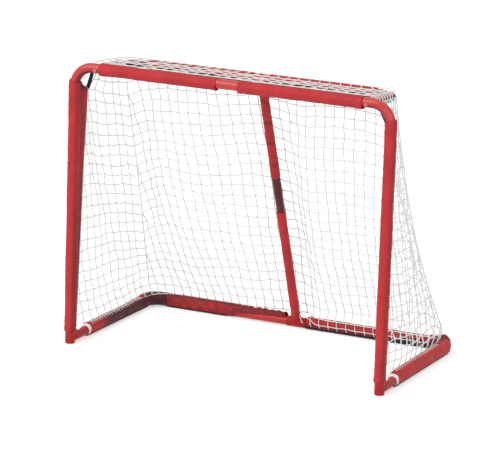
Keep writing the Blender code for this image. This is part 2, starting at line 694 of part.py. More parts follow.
def build_corner_strap(hand, side):
    """The flat strap inside the bend, from the crossbar's back to the tail's top."""
    half = STRAP_THICKNESS / 2
    tail_x = POST_X - TAIL_LENGTH * math.cos(TAIL_ANGLE)
    tail_y = MOUTH_Y + TAIL_LENGTH * math.sin(TAIL_ANGLE)
    low = Vector((side * tail_x, tail_y - half, POST_SLEEVE_TOP + CLEARANCE))
    high = Vector((side * (POST_X - STRAP_TOP_INSET), MOUTH_Y + FRAME_R + CLEARANCE + half,
                   GOAL_HEIGHT))
    low += Z * math.sin((high - low).angle(Z)) * STRAP_WIDTH / 2
    flat = [(-STRAP_WIDTH / 2, -half), (STRAP_WIDTH / 2, -half),
            (STRAP_WIDTH / 2, half), (-STRAP_WIDTH / 2, half)]
    bar("corner_strap_" + hand, straight(low, high), Y, flat, black_webbing)


# Nets. A height share t runs from the base bars (0) up to the shelf (1).
NET_LOW = BASE_SLEEVE_TOP + NET_GAP
TOP_CORNER_R = SHELF_BEND + SHELF_SLEEVE_R + NET_GAP
LOW_CORNER_R = BASE_BEND + CLEARANCE


def smooth_step(t):
    t = min(1.0, max(0.0, t))
    return t * t * (3 - 2 * t)


def corner_at(t):
    """Centre and radius of the rounded rear corner at a height share."""
    return (mix(POST_X - BASE_BEND, ARM_X - SHELF_BEND, t),
            mix(REAR_Y - BASE_BEND, SHELF_Y - SHELF_BEND, t),
            mix(LOW_CORNER_R, TOP_CORNER_R, t))


def back_net_point(u, t):
    """A point of the back net, u from -1 to 1 across it."""
    cx, cy, radius = corner_at(t)
    reach = abs(u) * (cx + radius * SEAM)
    angle = max(0.0, reach - cx) / radius
    x = min(reach, cx) + radius * math.sin(angle)
    behind_strut = 1 - smooth_step((abs(u) - 1 / BACK_CELLS[0]) * 3)
    y = mix(cy + radius * math.cos(angle), mix(REAR_Y, SHELF_Y, t) + STRUT_PASS, behind_strut)
    return Vector((math.copysign(x, u), y, mix(NET_LOW, SHELF_Z, t)))


def side_net_front(height):
    """Half width and depth at which a side net's front edge is tied to the tail."""
    angle = tail_angle(height)
    x = POST_X - TAIL_LENGTH * math.cos(angle)
    reach = TAIL_LENGTH * math.sin(angle) + TAIL_TIP / 2 * math.cos(angle)
    return x, MOUTH_Y + reach + CLEARANCE


def side_net_point(s, t, side):
    """A point of a side net, s from the seam (0) forward to the post (1)."""
    tied_x, tied_y = side_net_front(mix(NET_LOW, ARM_Z, t))
    cx, cy, radius = corner_at(t)
    seam = SEAM + TWINE / radius
    arc = radius * (math.pi / 2 - seam)
    travel = s * (arc + cy - tied_y)
    angle = seam + min(travel, arc) / radius
    y = cy + radius * math.cos(angle) - max(0.0, travel - arc)
    wide = cx + radius * math.sin(angle)
    front_x = mix(tied_x, wide, smooth_step((t - TIED_TO_POST) / (1 - TIED_TO_POST)))
    x = mix(front_x, wide, smooth_step((y - tied_y) / DRAW_IN))
    arm_z = ARM_Z - ARM_SLOPE * (y - MOUTH_Y)
    return Vector((side * x, y, mix(NET_LOW, arm_z, t)))


def top_net_point(u, v):
    """A point of the top net, v from the crossbar (0) back to the shelf bar (1)."""
    y = mix(MOUTH_Y, SHELF_Y, v)
    front = GOAL_HEIGHT + SLEEVE_R + NET_GAP
    rear = SHELF_Z + SHELF_SLEEVE_R + NET_GAP
    past = max(0.0, y - (SHELF_Y - SHELF_BEND))
    half = ARM_X - SHELF_BEND + math.sqrt((SHELF_BEND + SHELF_R) ** 2 - past ** 2)
    return Vector((u * half, y, mix(front, rear, v)))


def net_lines(cells, length, bends):
    """Edges of the strands and of the steps between them, as (share, strand starts here)."""
    half = TWINE / 2 / length
    lines = []
    for k in range(cells + 1):
        centre = mix(half, 1 - half, k / cells)
        lines.append((centre - half, True))
        gap = (1 - half * 2) / cells - half * 2
        lines += [(centre + half + gap * n / bends(k), False) for n in range(bends(k))]
    return [line for line in lines if line[0] < 1 + half / 2]


def net(name, point, cells, size, bends):
    """A sheet with square holes that is thickened into flat twine strands."""
    across = net_lines(cells[0], size[0], bends)
    up = net_lines(cells[1], size[1], lambda k: 1)
    bm = bmesh.new()
    grid = [[bm.verts.new(point(a, b)) for b, _ in up] for a, _ in across]
    for i, (_, upright) in enumerate(across[:-1]):
        for j, (_, level) in enumerate(up[:-1]):
            if upright or level:
                bm.faces.new((grid[i][j], grid[i + 1][j], grid[i + 1][j + 1], grid[i][j + 1]))
    for vert in [v for v in bm.verts if not v.link_faces]:
        bm.verts.remove(vert)
    obj = add_object(name, bm, white_twine)
    thick = obj.modifiers.new("twine", "SOLIDIFY")
    thick.thickness = TWINE
    thick.offset = 0
    thick.use_rim = True


def build_nets():
    back_height = math.hypot(SHELF_Z - NET_LOW, GOAL_DEPTH - SHELF_DEPTH)
    side_depth = (GOAL_DEPTH + SHELF_DEPTH) / 2
    columns = BACK_CELLS[0]
    net("net_back", lambda a, b: back_net_point(2 * a - 1, b), BACK_CELLS,
        (GOAL_WIDTH, back_height), lambda k: 3 if k in (0, 1, columns - 2, columns - 1) else 1)
    net("net_top", lambda a, b: top_net_point(2 * a - 1, b), TOP_CELLS,
        (ARM_X * 2, SHELF_DEPTH), lambda k: 1)
    for hand, side in HANDS:
        net("net_side_" + hand, lambda a, b, side=side: side_net_point(a, b, side), SIDE_CELLS,
            (side_depth, SHELF_Z - NET_LOW), lambda k: 2 if k == 0 else 1)


# Lacing cord along the front of the right rear sleeve
def sleeve_front_point(x, bearing):
    """A point just off the rear sleeve's front, at a bearing up from straight forward."""
    section = loose_section(REAR_SLEEVE_WIDTH, SLEEVE_FLOOR, BASE_SLEEVE_TOP, -LACE_STANDOFF)
    half_width = max(a for a, b in section)
    low = min(b for a, b in section)
    high = max(b for a, b in section)
    turn = math.radians(bearing)
    return Vector((x, REAR_Y - half_width * math.cos(turn) ** LOOSENESS,
                   mix(low, high, 0.5) + (high - low) / 2 * math.sin(turn) ** LOOSENESS))


def build_lacing():
    loops = int((REAR_SLEEVE_START - LACE_START) / LACE_PITCH)
    points = []
    for k in range(loops):
        for shift, bearing in LACE_STITCH:
            points.append(sleeve_front_point(LACE_START + k * LACE_PITCH + shift, bearing))
    shift, bearing = LACE_STITCH[0]
    points.append(sleeve_front_point(LACE_START + loops * LACE_PITCH + shift, bearing))
    curve = bpy.data.curves.new("lacing_cord", "CURVE")
    curve.dimensions = "3D"
    curve.bevel_depth = CORD / 2
    curve.bevel_resolution = 2
    curve.use_fill_caps = True
    spline = curve.splines.new("POLY")
    spline.points.add(len(points) - 1)
    for place, point in zip(spline.points, points):
        place.co = (*point, 1.0)
    obj = bpy.data.objects.new("lacing_cord", curve)
    bpy.context.collection.objects.link(obj)
    curve.materials.append(white_twine("lacing_cord_finish"))


build_front_frame()
for hand, side in HANDS:
    build_base_bar(hand, side)
    build_snap_clip(hand, side)
    build_shelf_bar(hand, side)
    build_shelf_fastener(hand, side)
    build_shelf_sleeve(hand, side)
    build_front_sleeves(hand, side)
    build_base_sleeves(hand, side)
    build_corner_strap(hand, side)
build_tee("rear_tee", STRUT_FOOT, -STRUT_LINE, BASE_R, BASE_TEE_R, BASE_TEE_LENGTH,
          BASE_SOCKET_FLARE)
build_tee("shelf_tee", STRUT_TOP, STRUT_LINE, SHELF_R, SHELF_TEE_R, SHELF_TEE_LENGTH,
          SHELF_SOCKET_FLARE)
build_strut()
build_nets()
build_lacing()
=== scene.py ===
"""Street-hockey goal: visual pieces, materials, studio floor, light and camera."""
import random
from math import atan2, copysign, cos, exp, hypot, pi, radians, sin, sqrt, tan, tau

import bmesh
import bpy
from mathutils import Matrix, Vector, noise


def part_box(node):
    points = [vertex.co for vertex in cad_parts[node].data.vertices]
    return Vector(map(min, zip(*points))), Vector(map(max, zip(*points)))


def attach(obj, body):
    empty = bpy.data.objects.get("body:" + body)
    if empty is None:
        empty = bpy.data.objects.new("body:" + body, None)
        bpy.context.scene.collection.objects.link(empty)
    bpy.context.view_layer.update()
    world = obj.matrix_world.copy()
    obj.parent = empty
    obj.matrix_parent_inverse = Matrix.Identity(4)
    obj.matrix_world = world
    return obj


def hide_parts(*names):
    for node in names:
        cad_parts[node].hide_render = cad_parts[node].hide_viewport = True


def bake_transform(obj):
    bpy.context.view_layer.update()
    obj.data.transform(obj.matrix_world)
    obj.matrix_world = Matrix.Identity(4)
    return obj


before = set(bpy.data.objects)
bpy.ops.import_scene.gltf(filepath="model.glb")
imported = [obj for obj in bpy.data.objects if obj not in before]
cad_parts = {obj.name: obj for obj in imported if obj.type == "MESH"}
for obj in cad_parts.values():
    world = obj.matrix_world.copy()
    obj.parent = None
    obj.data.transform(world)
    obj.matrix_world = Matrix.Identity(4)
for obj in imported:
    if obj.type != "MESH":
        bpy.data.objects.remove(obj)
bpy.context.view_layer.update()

HANDS = (("left", -1), ("right", 1))
X, Y, Z = Vector((1, 0, 0)), Vector((0, 1, 0)), Vector((0, 0, 1))

# Places of the frame's centre lines, in metres
MOUTH_Y, SHELF_Y, REAR_Y = -0.336866, -0.066866, 0.333134
POST_X, ARM_X = 0.6415, 0.549
GOAL_HEIGHT, SHELF_Z, ARM_Z, BASE_Z = 1.073, 1.055, 1.067, 0.0205
FRONT_BEND, BASE_BEND, SHELF_BEND = 0.075, 0.06, 0.075
BEND_Z = GOAL_HEIGHT - FRONT_BEND
ARM_SLOPE = (ARM_Z - SHELF_Z) / (SHELF_Y - MOUTH_Y)
STRUT_TOP = Vector((0, SHELF_Y, SHELF_Z))
STRUT_RUN = Vector((0, REAR_Y - SHELF_Y, BASE_Z - SHELF_Z))
STRUT_LINE = STRUT_RUN.normalized()

# Tubes, tees and hardware
FRAME_R, BASE_R, SHELF_R = 0.019, 0.0175, 0.0143
TUBE_WALL, HALF_GAP, FIT = 0.0015, 0.00015, 0.0003
BASE_TEE_R, SHELF_TEE_R, SOCKET_R = 0.0198, 0.0166, 0.0166
TEE_REACH = 0.05
COUPLER_MIDDLE, COUPLER_HALF = STRUT_RUN.length * 0.464, 0.0775
BUTTON_Y, BUTTON_R, BUTTON_FLANGE_R = MOUTH_Y + 0.067, 0.004, 0.0058

# Sleeves
SLEEVE_R, SHELF_SLEEVE_R, STRUT_SLEEVE_R = 0.0225, 0.0178, 0.0172
CLOTH, BASE_CLOTH = 0.0011, 0.001
POST_SLEEVE_FOOT, TAIL_TOP, POST_SLEEVE_TURN = 0.047, 0.985, radians(15)
TAIL_LENGTH, TAIL_SHOULDER = 0.0541, 0.036
TAIL_ANGLE, TAIL_FOOT_ANGLE = radians(56.3), radians(88)
ROUND_POINTS, TAIL_SEAMS = 35, (36, 37, 45, 46)
SLEEVE_FLOOR, SLEEVE_TOP, LACED_TOP = 0.0015, 0.054, 0.047
SECTION_POINTS, TOP_POINT = 44, 11
SIDE_SLEEVE_Y = MOUTH_Y + 0.131
REAR_OUT, REAR_IN, REAR_BARE = 0.566, 0.046, 0.3
SHELF_OUT, SHELF_IN = 0.468, 0.0303
TAPE = 0.0012

# Nets and cords
TWINE_R = 0.0021
SEAM = radians(60)
LOW_CORNER_R, TOP_CORNER_R = BASE_BEND + FIT, 0.0946
NET_LOW, ROWS, STRUT_PASS = 0.0558, 24, 0.02603
LACE_STEP, TIE_STEP = 0.0385, 0.0198


def at(x, y, z):
    return Vector((x, y, z))


def drift(x, y, z):
    """Smooth noise at a place, between about -1 and 1."""
    return noise.noise(Vector((x, y, z)))


def mix(low, high, t):
    return low + (high - low) * t


def share_of(t):
    return min(1, max(0, t))


def eased(t):
    """A share from 0 to 1 that sets off and stops gently."""
    t = share_of(t)
    return t * t * (3 - 2 * t)


def hump(t, centre, width):
    return exp(-((t - centre) / width) ** 2)


# Node materials
class Nodes:
    """Adds shader nodes to a material or a world."""

    def __init__(self, owner):
        owner.use_nodes = True
        self.tree = owner.node_tree

    def put(self, node, socket, value):
        if isinstance(value, bpy.types.NodeSocket):
            self.tree.links.new(value, node.inputs[socket])
        else:
            node.inputs[socket].default_value = value

    def node(self, kind, inputs=(), **settings):
        made = self.tree.nodes.new("ShaderNode" + kind)
        for key, value in settings.items():
            setattr(made, key, value)
        for socket, value in dict(inputs).items():
            self.put(made, socket, value)
        return made

    def span(self, value, low, high, to_low=0, to_high=1):
        return self.node("MapRange", {"Value": value, "From Min": low, "From Max": high,
                                      "To Min": to_low, "To Max": to_high}).outputs[0]

    def calc(self, operation, a, b):
        return self.node("Math", {0: a, 1: b}, operation=operation).outputs[0]

    def times(self, a, b):
        return self.calc("MULTIPLY", a, b)

    def seen(self):
        """1 for the camera's rays and for those that gloss and glass show."""
        rays = self.node("LightPath").outputs
        first = self.calc("MAXIMUM", rays["Is Camera Ray"], rays["Is Glossy Ray"])
        return self.calc("MAXIMUM", first, rays["Is Transmission Ray"])


class Finish(Nodes):
    """A Principled material whose colour, roughness and bump come from nodes."""

    def __init__(self, name, **sockets):
        self.material = bpy.data.materials.new(name)
        super().__init__(self.material)
        self.shader = self.tree.nodes["Principled BSDF"]
        for socket, value in sockets.items():
            self.put(self.shader, socket.replace("_", " "), value)
        self.coords = self.node("TexCoord").outputs

    def cloud(self, scale, detail=3, rough=0.5, stretch=None):
        vector = self.coords["Object"]
        if stretch:
            vector = self.node("Mapping", {"Vector": vector, "Scale": stretch}).outputs[0]
        return self.node("TexNoise", {"Vector": vector, "Scale": scale, "Detail": detail,
                                      "Roughness": rough}).outputs["Fac"]

    def bands(self, direction, period, distortion=0):
        """Waves across the UV map, whose units are metres along and round a piece."""
        made = self.node("TexWave", {"Vector": self.coords["UV"], "Scale": 2 * pi / 20 / period,
                                     "Distortion": distortion, "Detail": 1, "Detail Scale": 0.4},
                         bands_direction=direction)
        return made.outputs["Fac"]

    def mark(self, name):
        return self.node("Attribute", attribute_name=name).outputs["Fac"]

    def tint(self, factor, first, second):
        first, second = [c if isinstance(c, bpy.types.NodeSocket) else (*c, 1) for c in (first, second)]
        return self.node("Mix", {0: factor, 6: first, 7: second}, data_type="RGBA").outputs[2]

    def bump(self, height, distance, after=None):
        inputs = {"Height": height, "Distance": distance, "Strength": 1}
        if after is not None:
            inputs["Normal"] = after
        return self.node("Bump", inputs).outputs[0]

    def done(self, colour, roughness, normal):
        self.put(self.shader, "Base Color", colour)
        self.put(self.shader, "Roughness", roughness)
        self.put(self.shader, "Normal", normal)
        return self.material


def shade_of(colour, factor, plus=0):
    return [min(1, c * factor + plus) for c in colour]


def paint(name, colour, worn, coat):
    """Glossy enamel: slight orange peel, uneven gloss, scuffs, and painted shade with less gloss towards
    the floor and in the bends' inner sides.
    """
    look = Finish(name, Coat_Roughness=0.16, Specular_IOR_Level=0.12)
    scuff = look.span(look.cloud(46, 6, 0.7, (1, 1, 0.35)), 0.6, 0.72)
    shade = look.tint(look.span(look.cloud(7, 4), 0.35, 0.65), shade_of(colour, 0.86), colour)
    shade = look.tint(look.times(scuff, 0.3), shade, worn)
    height = look.node("SeparateXYZ", {0: look.coords["Object"]}).outputs["Z"]
    # The mesh's mark: painted shade with less gloss where it is above zero; below zero it takes the floor
    # shade off and adds gloss
    painted_shade = look.mark("panel")
    clear = look.calc("SUBTRACT", look.span(height, 0.03, 0.1, 0, coat), look.times(painted_shade, 0.6))
    look.put(look.shader, "Coat Weight", look.calc("MAXIMUM", clear, 0))
    # Painted shade: darker, towards a third of the colour, near the floor and where the mesh marks it
    shade_depth = look.calc("ADD", look.span(height, 0.1, 0.03, 0, 0.42), look.times(painted_shade, 0.9))
    shade_depth = look.calc("MINIMUM", look.calc("MAXIMUM", shade_depth, 0), 1)
    peel = look.bump(look.cloud(420, 1), 0.00016)
    return look.done(look.tint(shade_depth, shade, shade_of(colour, 0.34)),
                     look.span(look.cloud(30, 4), 0.3, 0.7, 0.24, 0.42),
                     look.bump(look.cloud(60, 2), 0.0005, peel))


def nylon(name, colour, shaded):
    """Coated woven cloth: a fine weave, a satin face, puckers, a stitched hem and seam, and painted shade
    and darkening towards the shaded colour where the mesh marks it.
    """
    look = Finish(name, Sheen_Weight=0.05, Sheen_Roughness=0.4, Specular_IOR_Level=0.26,
                  Sheen_Tint=(1, 0.55, 0.55, 1))
    weave = look.times(look.bands("X", 0.0011), look.bands("Y", 0.0011))
    mottle = look.cloud(64, 4, 0.65)
    cloth = look.tint(look.span(look.cloud(11, 5, 0.6), 0.32, 0.68), shade_of(colour, 0.8),
                      shade_of(colour, 1.1))
    cloth = look.tint(look.times(look.span(mottle, 0.52, 0.75), 0.32), cloth,
                      [colour[0] * 0.62, colour[1] * 0.7, colour[2] * 0.7])
    thread = look.tint(look.times(weave, 0.3), cloth, shade_of(colour, 1.25, 0.01))
    # Painted shade and darkening from the mesh's mark, broken up by the mottle
    uneven = look.times(look.mark("panel"), look.span(mottle, 0.25, 0.6, 1, 0.72))
    shaded_and_darkened = look.tint(uneven, thread, shaded)
    seam = look.mark("stitch")
    dash = look.span(look.bands("X", 0.006), 0.42, 0.5)
    sewn = look.times(look.span(seam, 0.55, 0.75), dash)
    pucker = look.bump(look.cloud(85, 4, 0.6, (1, 1, 0.6)), 0.0012, look.bump(weave, 0.00022))
    return look.done(look.tint(sewn, shaded_and_darkened, shade_of(colour, 0.45, 0.01)),
                     look.span(look.cloud(38, 4), 0.3, 0.7, 0.46, 0.66), look.bump(seam, 0.0004, pucker))


def ribbed(name, sheen, specular, ribs, depth, colour, light, patches, amount, dusty, roughness):
    """Woven or knitted tape: ribs both ways, and patches of dust or soil."""
    look = Finish(name, Sheen_Weight=sheen[0], Sheen_Roughness=sheen[1], Specular_IOR_Level=specular)
    ribs = look.times(look.bands("X", ribs[0]), look.bands("Y", ribs[1]))
    dust = look.span(look.cloud(patches[0], 5, 0.7), patches[1], patches[2])
    shade = look.tint(look.times(ribs, depth[0]), colour, light)
    return look.done(look.tint(look.times(dust, amount), shade, dusty),
                     look.span(dust, 0, 1, roughness, 0.9), look.bump(ribs, depth[1]))


def twine(name, colour, shaded, period=0.0042):
    """Laid twine: strands that wind round it, loose fibres and uneven soiling."""
    look = Finish(name, Sheen_Weight=0.2, Sheen_Roughness=0.5, Specular_IOR_Level=0.3)
    lay = look.bands("DIAGONAL", period, 0.6)
    darkening = look.span(look.cloud(24, 4, 0.6), 0.4, 0.72)
    fibre = look.cloud(900, 2)
    shade = look.tint(look.times(lay, 0.45), shaded, colour)
    return look.done(look.tint(look.times(darkening, 0.3), shade, shade_of(shaded, 0.74)),
                     look.span(fibre, 0.3, 0.7, 0.7, 0.92),
                     look.bump(fibre, 0.00015, look.bump(lay, 0.0005)))


def metal(name, colour, roughness):
    """Plated steel: brushed grain, spots of dull plating."""
    look = Finish(name, Metallic=1)
    grain = look.cloud(260, 3, 0.6, (1, 1, 0.06))
    spots = look.span(look.cloud(150, 4), 0.55, 0.75)
    return look.done(look.tint(spots, colour, shade_of(colour, 0.62)),
                     look.span(grain, 0.3, 0.7, roughness - 0.08, roughness + 0.14),
                     look.bump(grain, 0.00012))


def moulded(name, colour):
    """Moulded plastic: a fine spark-eroded grain and rubbed, paler patches."""
    look = Finish(name, Specular_IOR_Level=0.45)
    rubbed = look.span(look.cloud(55, 5, 0.7), 0.52, 0.75)
    return look.done(look.tint(look.times(rubbed, 0.35), colour, shade_of(colour, 0.8, 0.05)),
                     look.span(rubbed, 0, 1, 0.34, 0.52), look.bump(look.cloud(700, 2), 0.00018))


# Each look is a material and the slot of the record that it stands for
RED_PAINT = paint("red_enamel", (0.6, 0.034, 0.033), (0.66, 0.2, 0.17), 0.7), "red_paint"
MAROON_PAINT = paint("maroon_enamel", (0.12, 0.026, 0.027), (0.26, 0.11, 0.1), 0.1), "maroon_paint"
RED_NYLON = nylon("red_cloth", (0.53, 0.028, 0.033), (0.066, 0.014, 0.016)), "red_nylon"
BLACK_WEB = ribbed("black_webbing", (0.04, 0.5), 0.25, (0.0016, 0.0009), (0.5, 0.0005),
                   (0.01, 0.008, 0.01), (0.034, 0.028, 0.03), (40, 0.5, 0.78), 0.35,
                   (0.0744, 0.0648, 0.068), 0.66), "black_webbing"
WHITE_ELASTIC = ribbed("white_elastic", (0.15, 0.4), 0.3, (0.0012, 0.0022), (0.4, 0.0003),
                       (0.88, 0.87, 0.85), (0.97, 0.97, 0.96), (120, 0.52, 0.8), 0.3,
                       (0.66, 0.62, 0.58), 0.7), "white_elastic"
WHITE_TWINE = twine("white_twine", (0.93, 0.95, 0.925), (0.82, 0.84, 0.815)), "white_twine"
WHITE_CORD = twine("white_cord", (0.95, 0.93, 0.92), (0.84, 0.8, 0.78), 0.0036), "white_twine"
ZINC = metal("zinc_plate", (0.74, 0.73, 0.71), 0.28), "zinc"
PALE_ZINC = metal("button_plate", (0.9, 0.86, 0.84), 0.34), "zinc"
RED_PLASTIC = moulded("red_plastic", (0.5, 0.02, 0.026)), "red_plastic"
# Pale pink enamel for the bolt heads: red paint paled as a painted highlight
BOLT_HIGHLIGHT_PAINT = paint("bolt_enamel_painted_highlight", (0.7, 0.17, 0.15), (0.82, 0.45, 0.42), 0.4), "red_paint"


# Paths and outlines
def rounded_path(corners, spacing, radius=0, steps=1):
    """Points and directions along straight runs joined by arcs, closely spaced."""
    path = [(corners[0], (corners[1] - corners[0]).normalized())]
    for before, corner, after in zip(corners, corners[1:], corners[2:]):
        into, out = (corner - before).normalized(), (after - corner).normalized()
        turn = into.angle(out)
        start = corner - into * radius * tan(turn / 2)
        centre = start + (out - into * into.dot(out)).normalized() * radius
        axis = into.cross(out).normalized()
        for k in range(steps + 1):
            swing = Matrix.Rotation(turn * k / steps, 3, axis)
            path.append((centre + swing @ (start - centre), swing @ into))
    path.append((corners[-1], (corners[-1] - corners[-2]).normalized()))
    close = [path[0]]
    for (a, along_a), (b, along_b) in zip(path, path[1:]):
        parts = max(1, round((b - a).length / spacing)) if along_a.angle(along_b) < 0.01 else 1
        close += [(a.lerp(b, k / parts), along_b) for k in range(1, parts + 1)]
    return close


def lengths(path):
    travelled = [0]
    for (a, _), (b, _) in zip(path, path[1:]):
        travelled.append(travelled[-1] + (b - a).length)
    return travelled


def curve_through(points, parts, dip=0):
    """A smooth line through the knots that hangs a little between them."""
    line = []
    last = len(points) - 1
    for k in range(last):
        p0, p1, p2, p3 = points[max(0, k - 1)], points[k], points[k + 1], points[min(last, k + 2)]
        for j in range(parts):
            t = j / parts
            p = 0.5 * ((2 * p1) + (p2 - p0) * t + (2 * p0 - 5 * p1 + 4 * p2 - p3) * t * t
                       + (3 * p1 - p0 - 3 * p2 + p3) * t ** 3)
            line.append(p + at(0, 0, -dip * sin(pi * t)))
    return line + [points[-1]]


def ring_at(point, along, up, profile):
    lift = (up - along * up.dot(along)).normalized()
    across = along.cross(lift)
    return [point + across * a + lift * b for a, b in profile]


def aimed(centre, direction):
    return Matrix.Translation(centre) @ direction.to_track_quat("Z", "Y").to_matrix().to_4x4()


def circle(radius, sides):
    turns = [tau * k / sides for k in range(sides)]
    return [(radius * cos(t), radius * sin(t)) for t in turns]


def squarish(turn, looseness=0.77):
    """A turn's cosine and sine, drawn out towards a box: the smaller the looseness, the squarer."""
    return [copysign(abs(v) ** looseness, v) for v in (cos(turn), sin(turn))]


def loose_section(width, top, count=SECTION_POINTS, looseness=0.77, bottom=SLEEVE_FLOOR + 0.0006):
    ring = [squarish(tau * (k + 0.5) / count, looseness) for k in range(count)]
    return [(width / 2 * c, (bottom + top) / 2 + (top - bottom) / 2 * s) for c, s in ring]


def outward(profile, k):
    (ax, ay), (bx, by) = profile[k - 1], profile[(k + 1) % len(profile)]
    run = hypot(bx - ax, by - ay) or 1
    return (by - ay) / run, (ax - bx) / run


def moved(profile, off):
    """The profile with each point k moved outwards by off(k, a, b)."""
    out = []
    for k, (a, b) in enumerate(profile):
        n, m = outward(profile, k)
        far = off(k, a, b)
        out.append((a + n * far, b + m * far))
    return out


def blended(first, second, t):
    return [(mix(a, c, t), mix(b, d, t)) for (a, b), (c, d) in zip(first, second)]


def both_halves(points):
    """An outline from its first half, whose second half is the same turned round."""
    return points + [(-a, -b) for a, b in points]


def dome(radius, base, height):
    turns = [pi / 2 * k / 7 for k in range(7)]
    return [(radius * cos(t), base + height * sin(t)) for t in turns] + [(0, base + height)]


def rod(radius, half, ease, grooves=()):
    """The outline of a round bar with eased ends."""
    low = [(0, -half), (radius - ease, -half), (radius, ease - half)]
    return low + list(grooves) + [(r, -h) for r, h in reversed(low)]


# Mesh makers
class Mesh:
    """Gathers vertices, faces, UVs in metres and two marks, one of painted shade and darkening and one of
    stitches, then makes a piece.
    """

    def __init__(self):
        self.verts, self.faces, self.uvs = [], [], []
        self.panel, self.stitch = [], []

    def row(self, loop, marks=None):
        """Add a ring of vertices: marks(k, point) gives each its painted shade and darkening mark and its
        stitch mark.
        """
        first = len(self.verts)
        for k, point in enumerate(loop):
            panel, stitch = marks(k, point) if marks else (0, 0)
            self.verts.append(tuple(point))
            self.panel.append(panel)
            self.stitch.append(stitch)
        return range(first, len(self.verts))

    def band(self, low, high, u, to_u, ring):
        """Quads between two rows. V adds up the steps round the ring."""
        v = 0
        for k, point in enumerate(ring):
            n = (k + 1) % len(ring)
            wide = (ring[n] - point).length
            self.faces.append((low[k], low[n], high[n], high[k]))
            self.uvs += ((u, v), (u, v + wide), (to_u, v + wide), (to_u, v))
            v += wide

    def loft(self, loops):
        """Skin a list of rings and close both ends. U runs from ring to ring, V round each."""
        rows = [self.row(loop) for loop in loops]
        middles = [sum(loop, Vector()) / len(loop) for loop in loops]
        u = 0
        for k in range(len(loops) - 1):
            step = (middles[k + 1] - middles[k]).length
            self.band(rows[k], rows[k + 1], u, u + step, loops[k])
            u += step
        for end in (rows[0][::-1], rows[-1]):
            self.faces.append(tuple(end))
            self.uvs += [(0, 0)] * len(end)
        return self

    def cord(self, points, radius, sides=6):
        """A round strand through the points, with closed ends."""
        loops = []
        for i, p in enumerate(points):
            along = (points[min(i + 1, len(points) - 1)] - points[max(i - 1, 0)]).normalized()
            if i == 0:
                axis = along.orthogonal().normalized()
            axis = (axis - along * axis.dot(along)).normalized()
            other = along.cross(axis)
            loops.append([p + (axis * c + other * s) * radius for c, s in circle(1, sides)])
        return self.loft(loops)

    def knot(self, centre, along, across, size):
        """A knot at a crossing: a bead, a little flat and drawn out along the strand."""
        out = along.cross(across).normalized()
        loops = []
        for a in range(5):
            tilt = pi * (a + 0.5) / 5 - pi / 2
            ring = size * cos(tilt) * 1.05
            middle = centre + along * (size * 1.15 * sin(tilt))
            loops.append([middle + (across * c + out * s * 0.85) * ring for c, s in circle(1, 7)])
        return self.loft(loops)

    def turned(self, profile, place, sides=32):
        """Spin (radius, height) points round an axis set by a matrix."""
        rim = circle(1, sides)
        return self.loft([[place @ at(max(r, 0.00005) * c, max(r, 0.00005) * s, h) for c, s in rim]
                          for r, h in profile])

    def shell(self, path, up, section, wall, marks=None):
        """A closed sleeve. section(s, point) is its outside in the plane square to the path, and
        marks(s, k, point) gives the painted shade and darkening mark and the stitch mark of its point k."""
        travelled = lengths(path)
        outside, inside = [], []
        for (point, along), s in zip(path, travelled):
            profile = section(s, point)
            outside.append(ring_at(point, along, up, profile))
            inside.append(ring_at(point, along, up, moved(profile, lambda k, a, b: -wall)))
        order = list(range(len(path)))
        order += order[::-1]
        rows = []
        for loop, i in zip(outside + inside[::-1], order):
            rows.append(self.row(loop, marks and (lambda k, p: marks(travelled[i], k, p))))
        for r, row in enumerate(rows):
            n = (r + 1) % len(rows)
            self.band(row, rows[n], travelled[order[r]], travelled[order[n]], outside[0])
        return self

    def object(self, name):
        mesh = bpy.data.meshes.new(name)
        mesh.from_pydata(self.verts, [], self.faces)
        obj = bpy.data.objects.new(name, mesh)
        bpy.context.scene.collection.objects.link(obj)
        return obj

    def piece(self, name, look, *nodes, body="goal", sharp=None):
        """Make the piece, and attach it to its body if it has one."""
        material, slot = look
        obj = self.object(name)
        mesh = obj.data
        layer = mesh.uv_layers.new(name="UVMap")
        layer.data.foreach_set("uv", [c for uv in self.uvs for c in uv])
        for mark, values in (("panel", self.panel), ("stitch", self.stitch)):
            if any(values):
                mesh.attributes.new(mark, "FLOAT", "POINT").data.foreach_set("value", values)
        mesh.materials.append(material)
        bm = bmesh.new()
        bm.from_mesh(mesh)
        bmesh.ops.recalc_face_normals(bm, faces=bm.faces)
        bm.to_mesh(mesh)
        bm.free()
        mesh.shade_smooth()
        if sharp:
            mesh.set_sharp_from_angle(angle=radians(sharp))
        if body:
            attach(obj, body)
        if nodes:
            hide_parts(*nodes)
        return obj


def apply_modifiers(obj):
    """Replace an object's mesh by what its modifiers make of it."""
    bpy.context.view_layer.update()
    graph = bpy.context.evaluated_depsgraph_get()
    changed = bpy.data.meshes.new_from_object(obj.evaluated_get(graph))
    obj.modifiers.clear()
    obj.data = changed


# Steel frame
def tube(name, node, corners, spacing, bend, steps, up, radius, sides=36, marks=None):
    profile = circle(radius, sides)
    mesh = Mesh().shell(rounded_path(corners, spacing, bend, steps), up, lambda s, point: profile,
                        TUBE_WALL, marks)
    return mesh.piece(name, RED_PAINT, node, sharp=50)


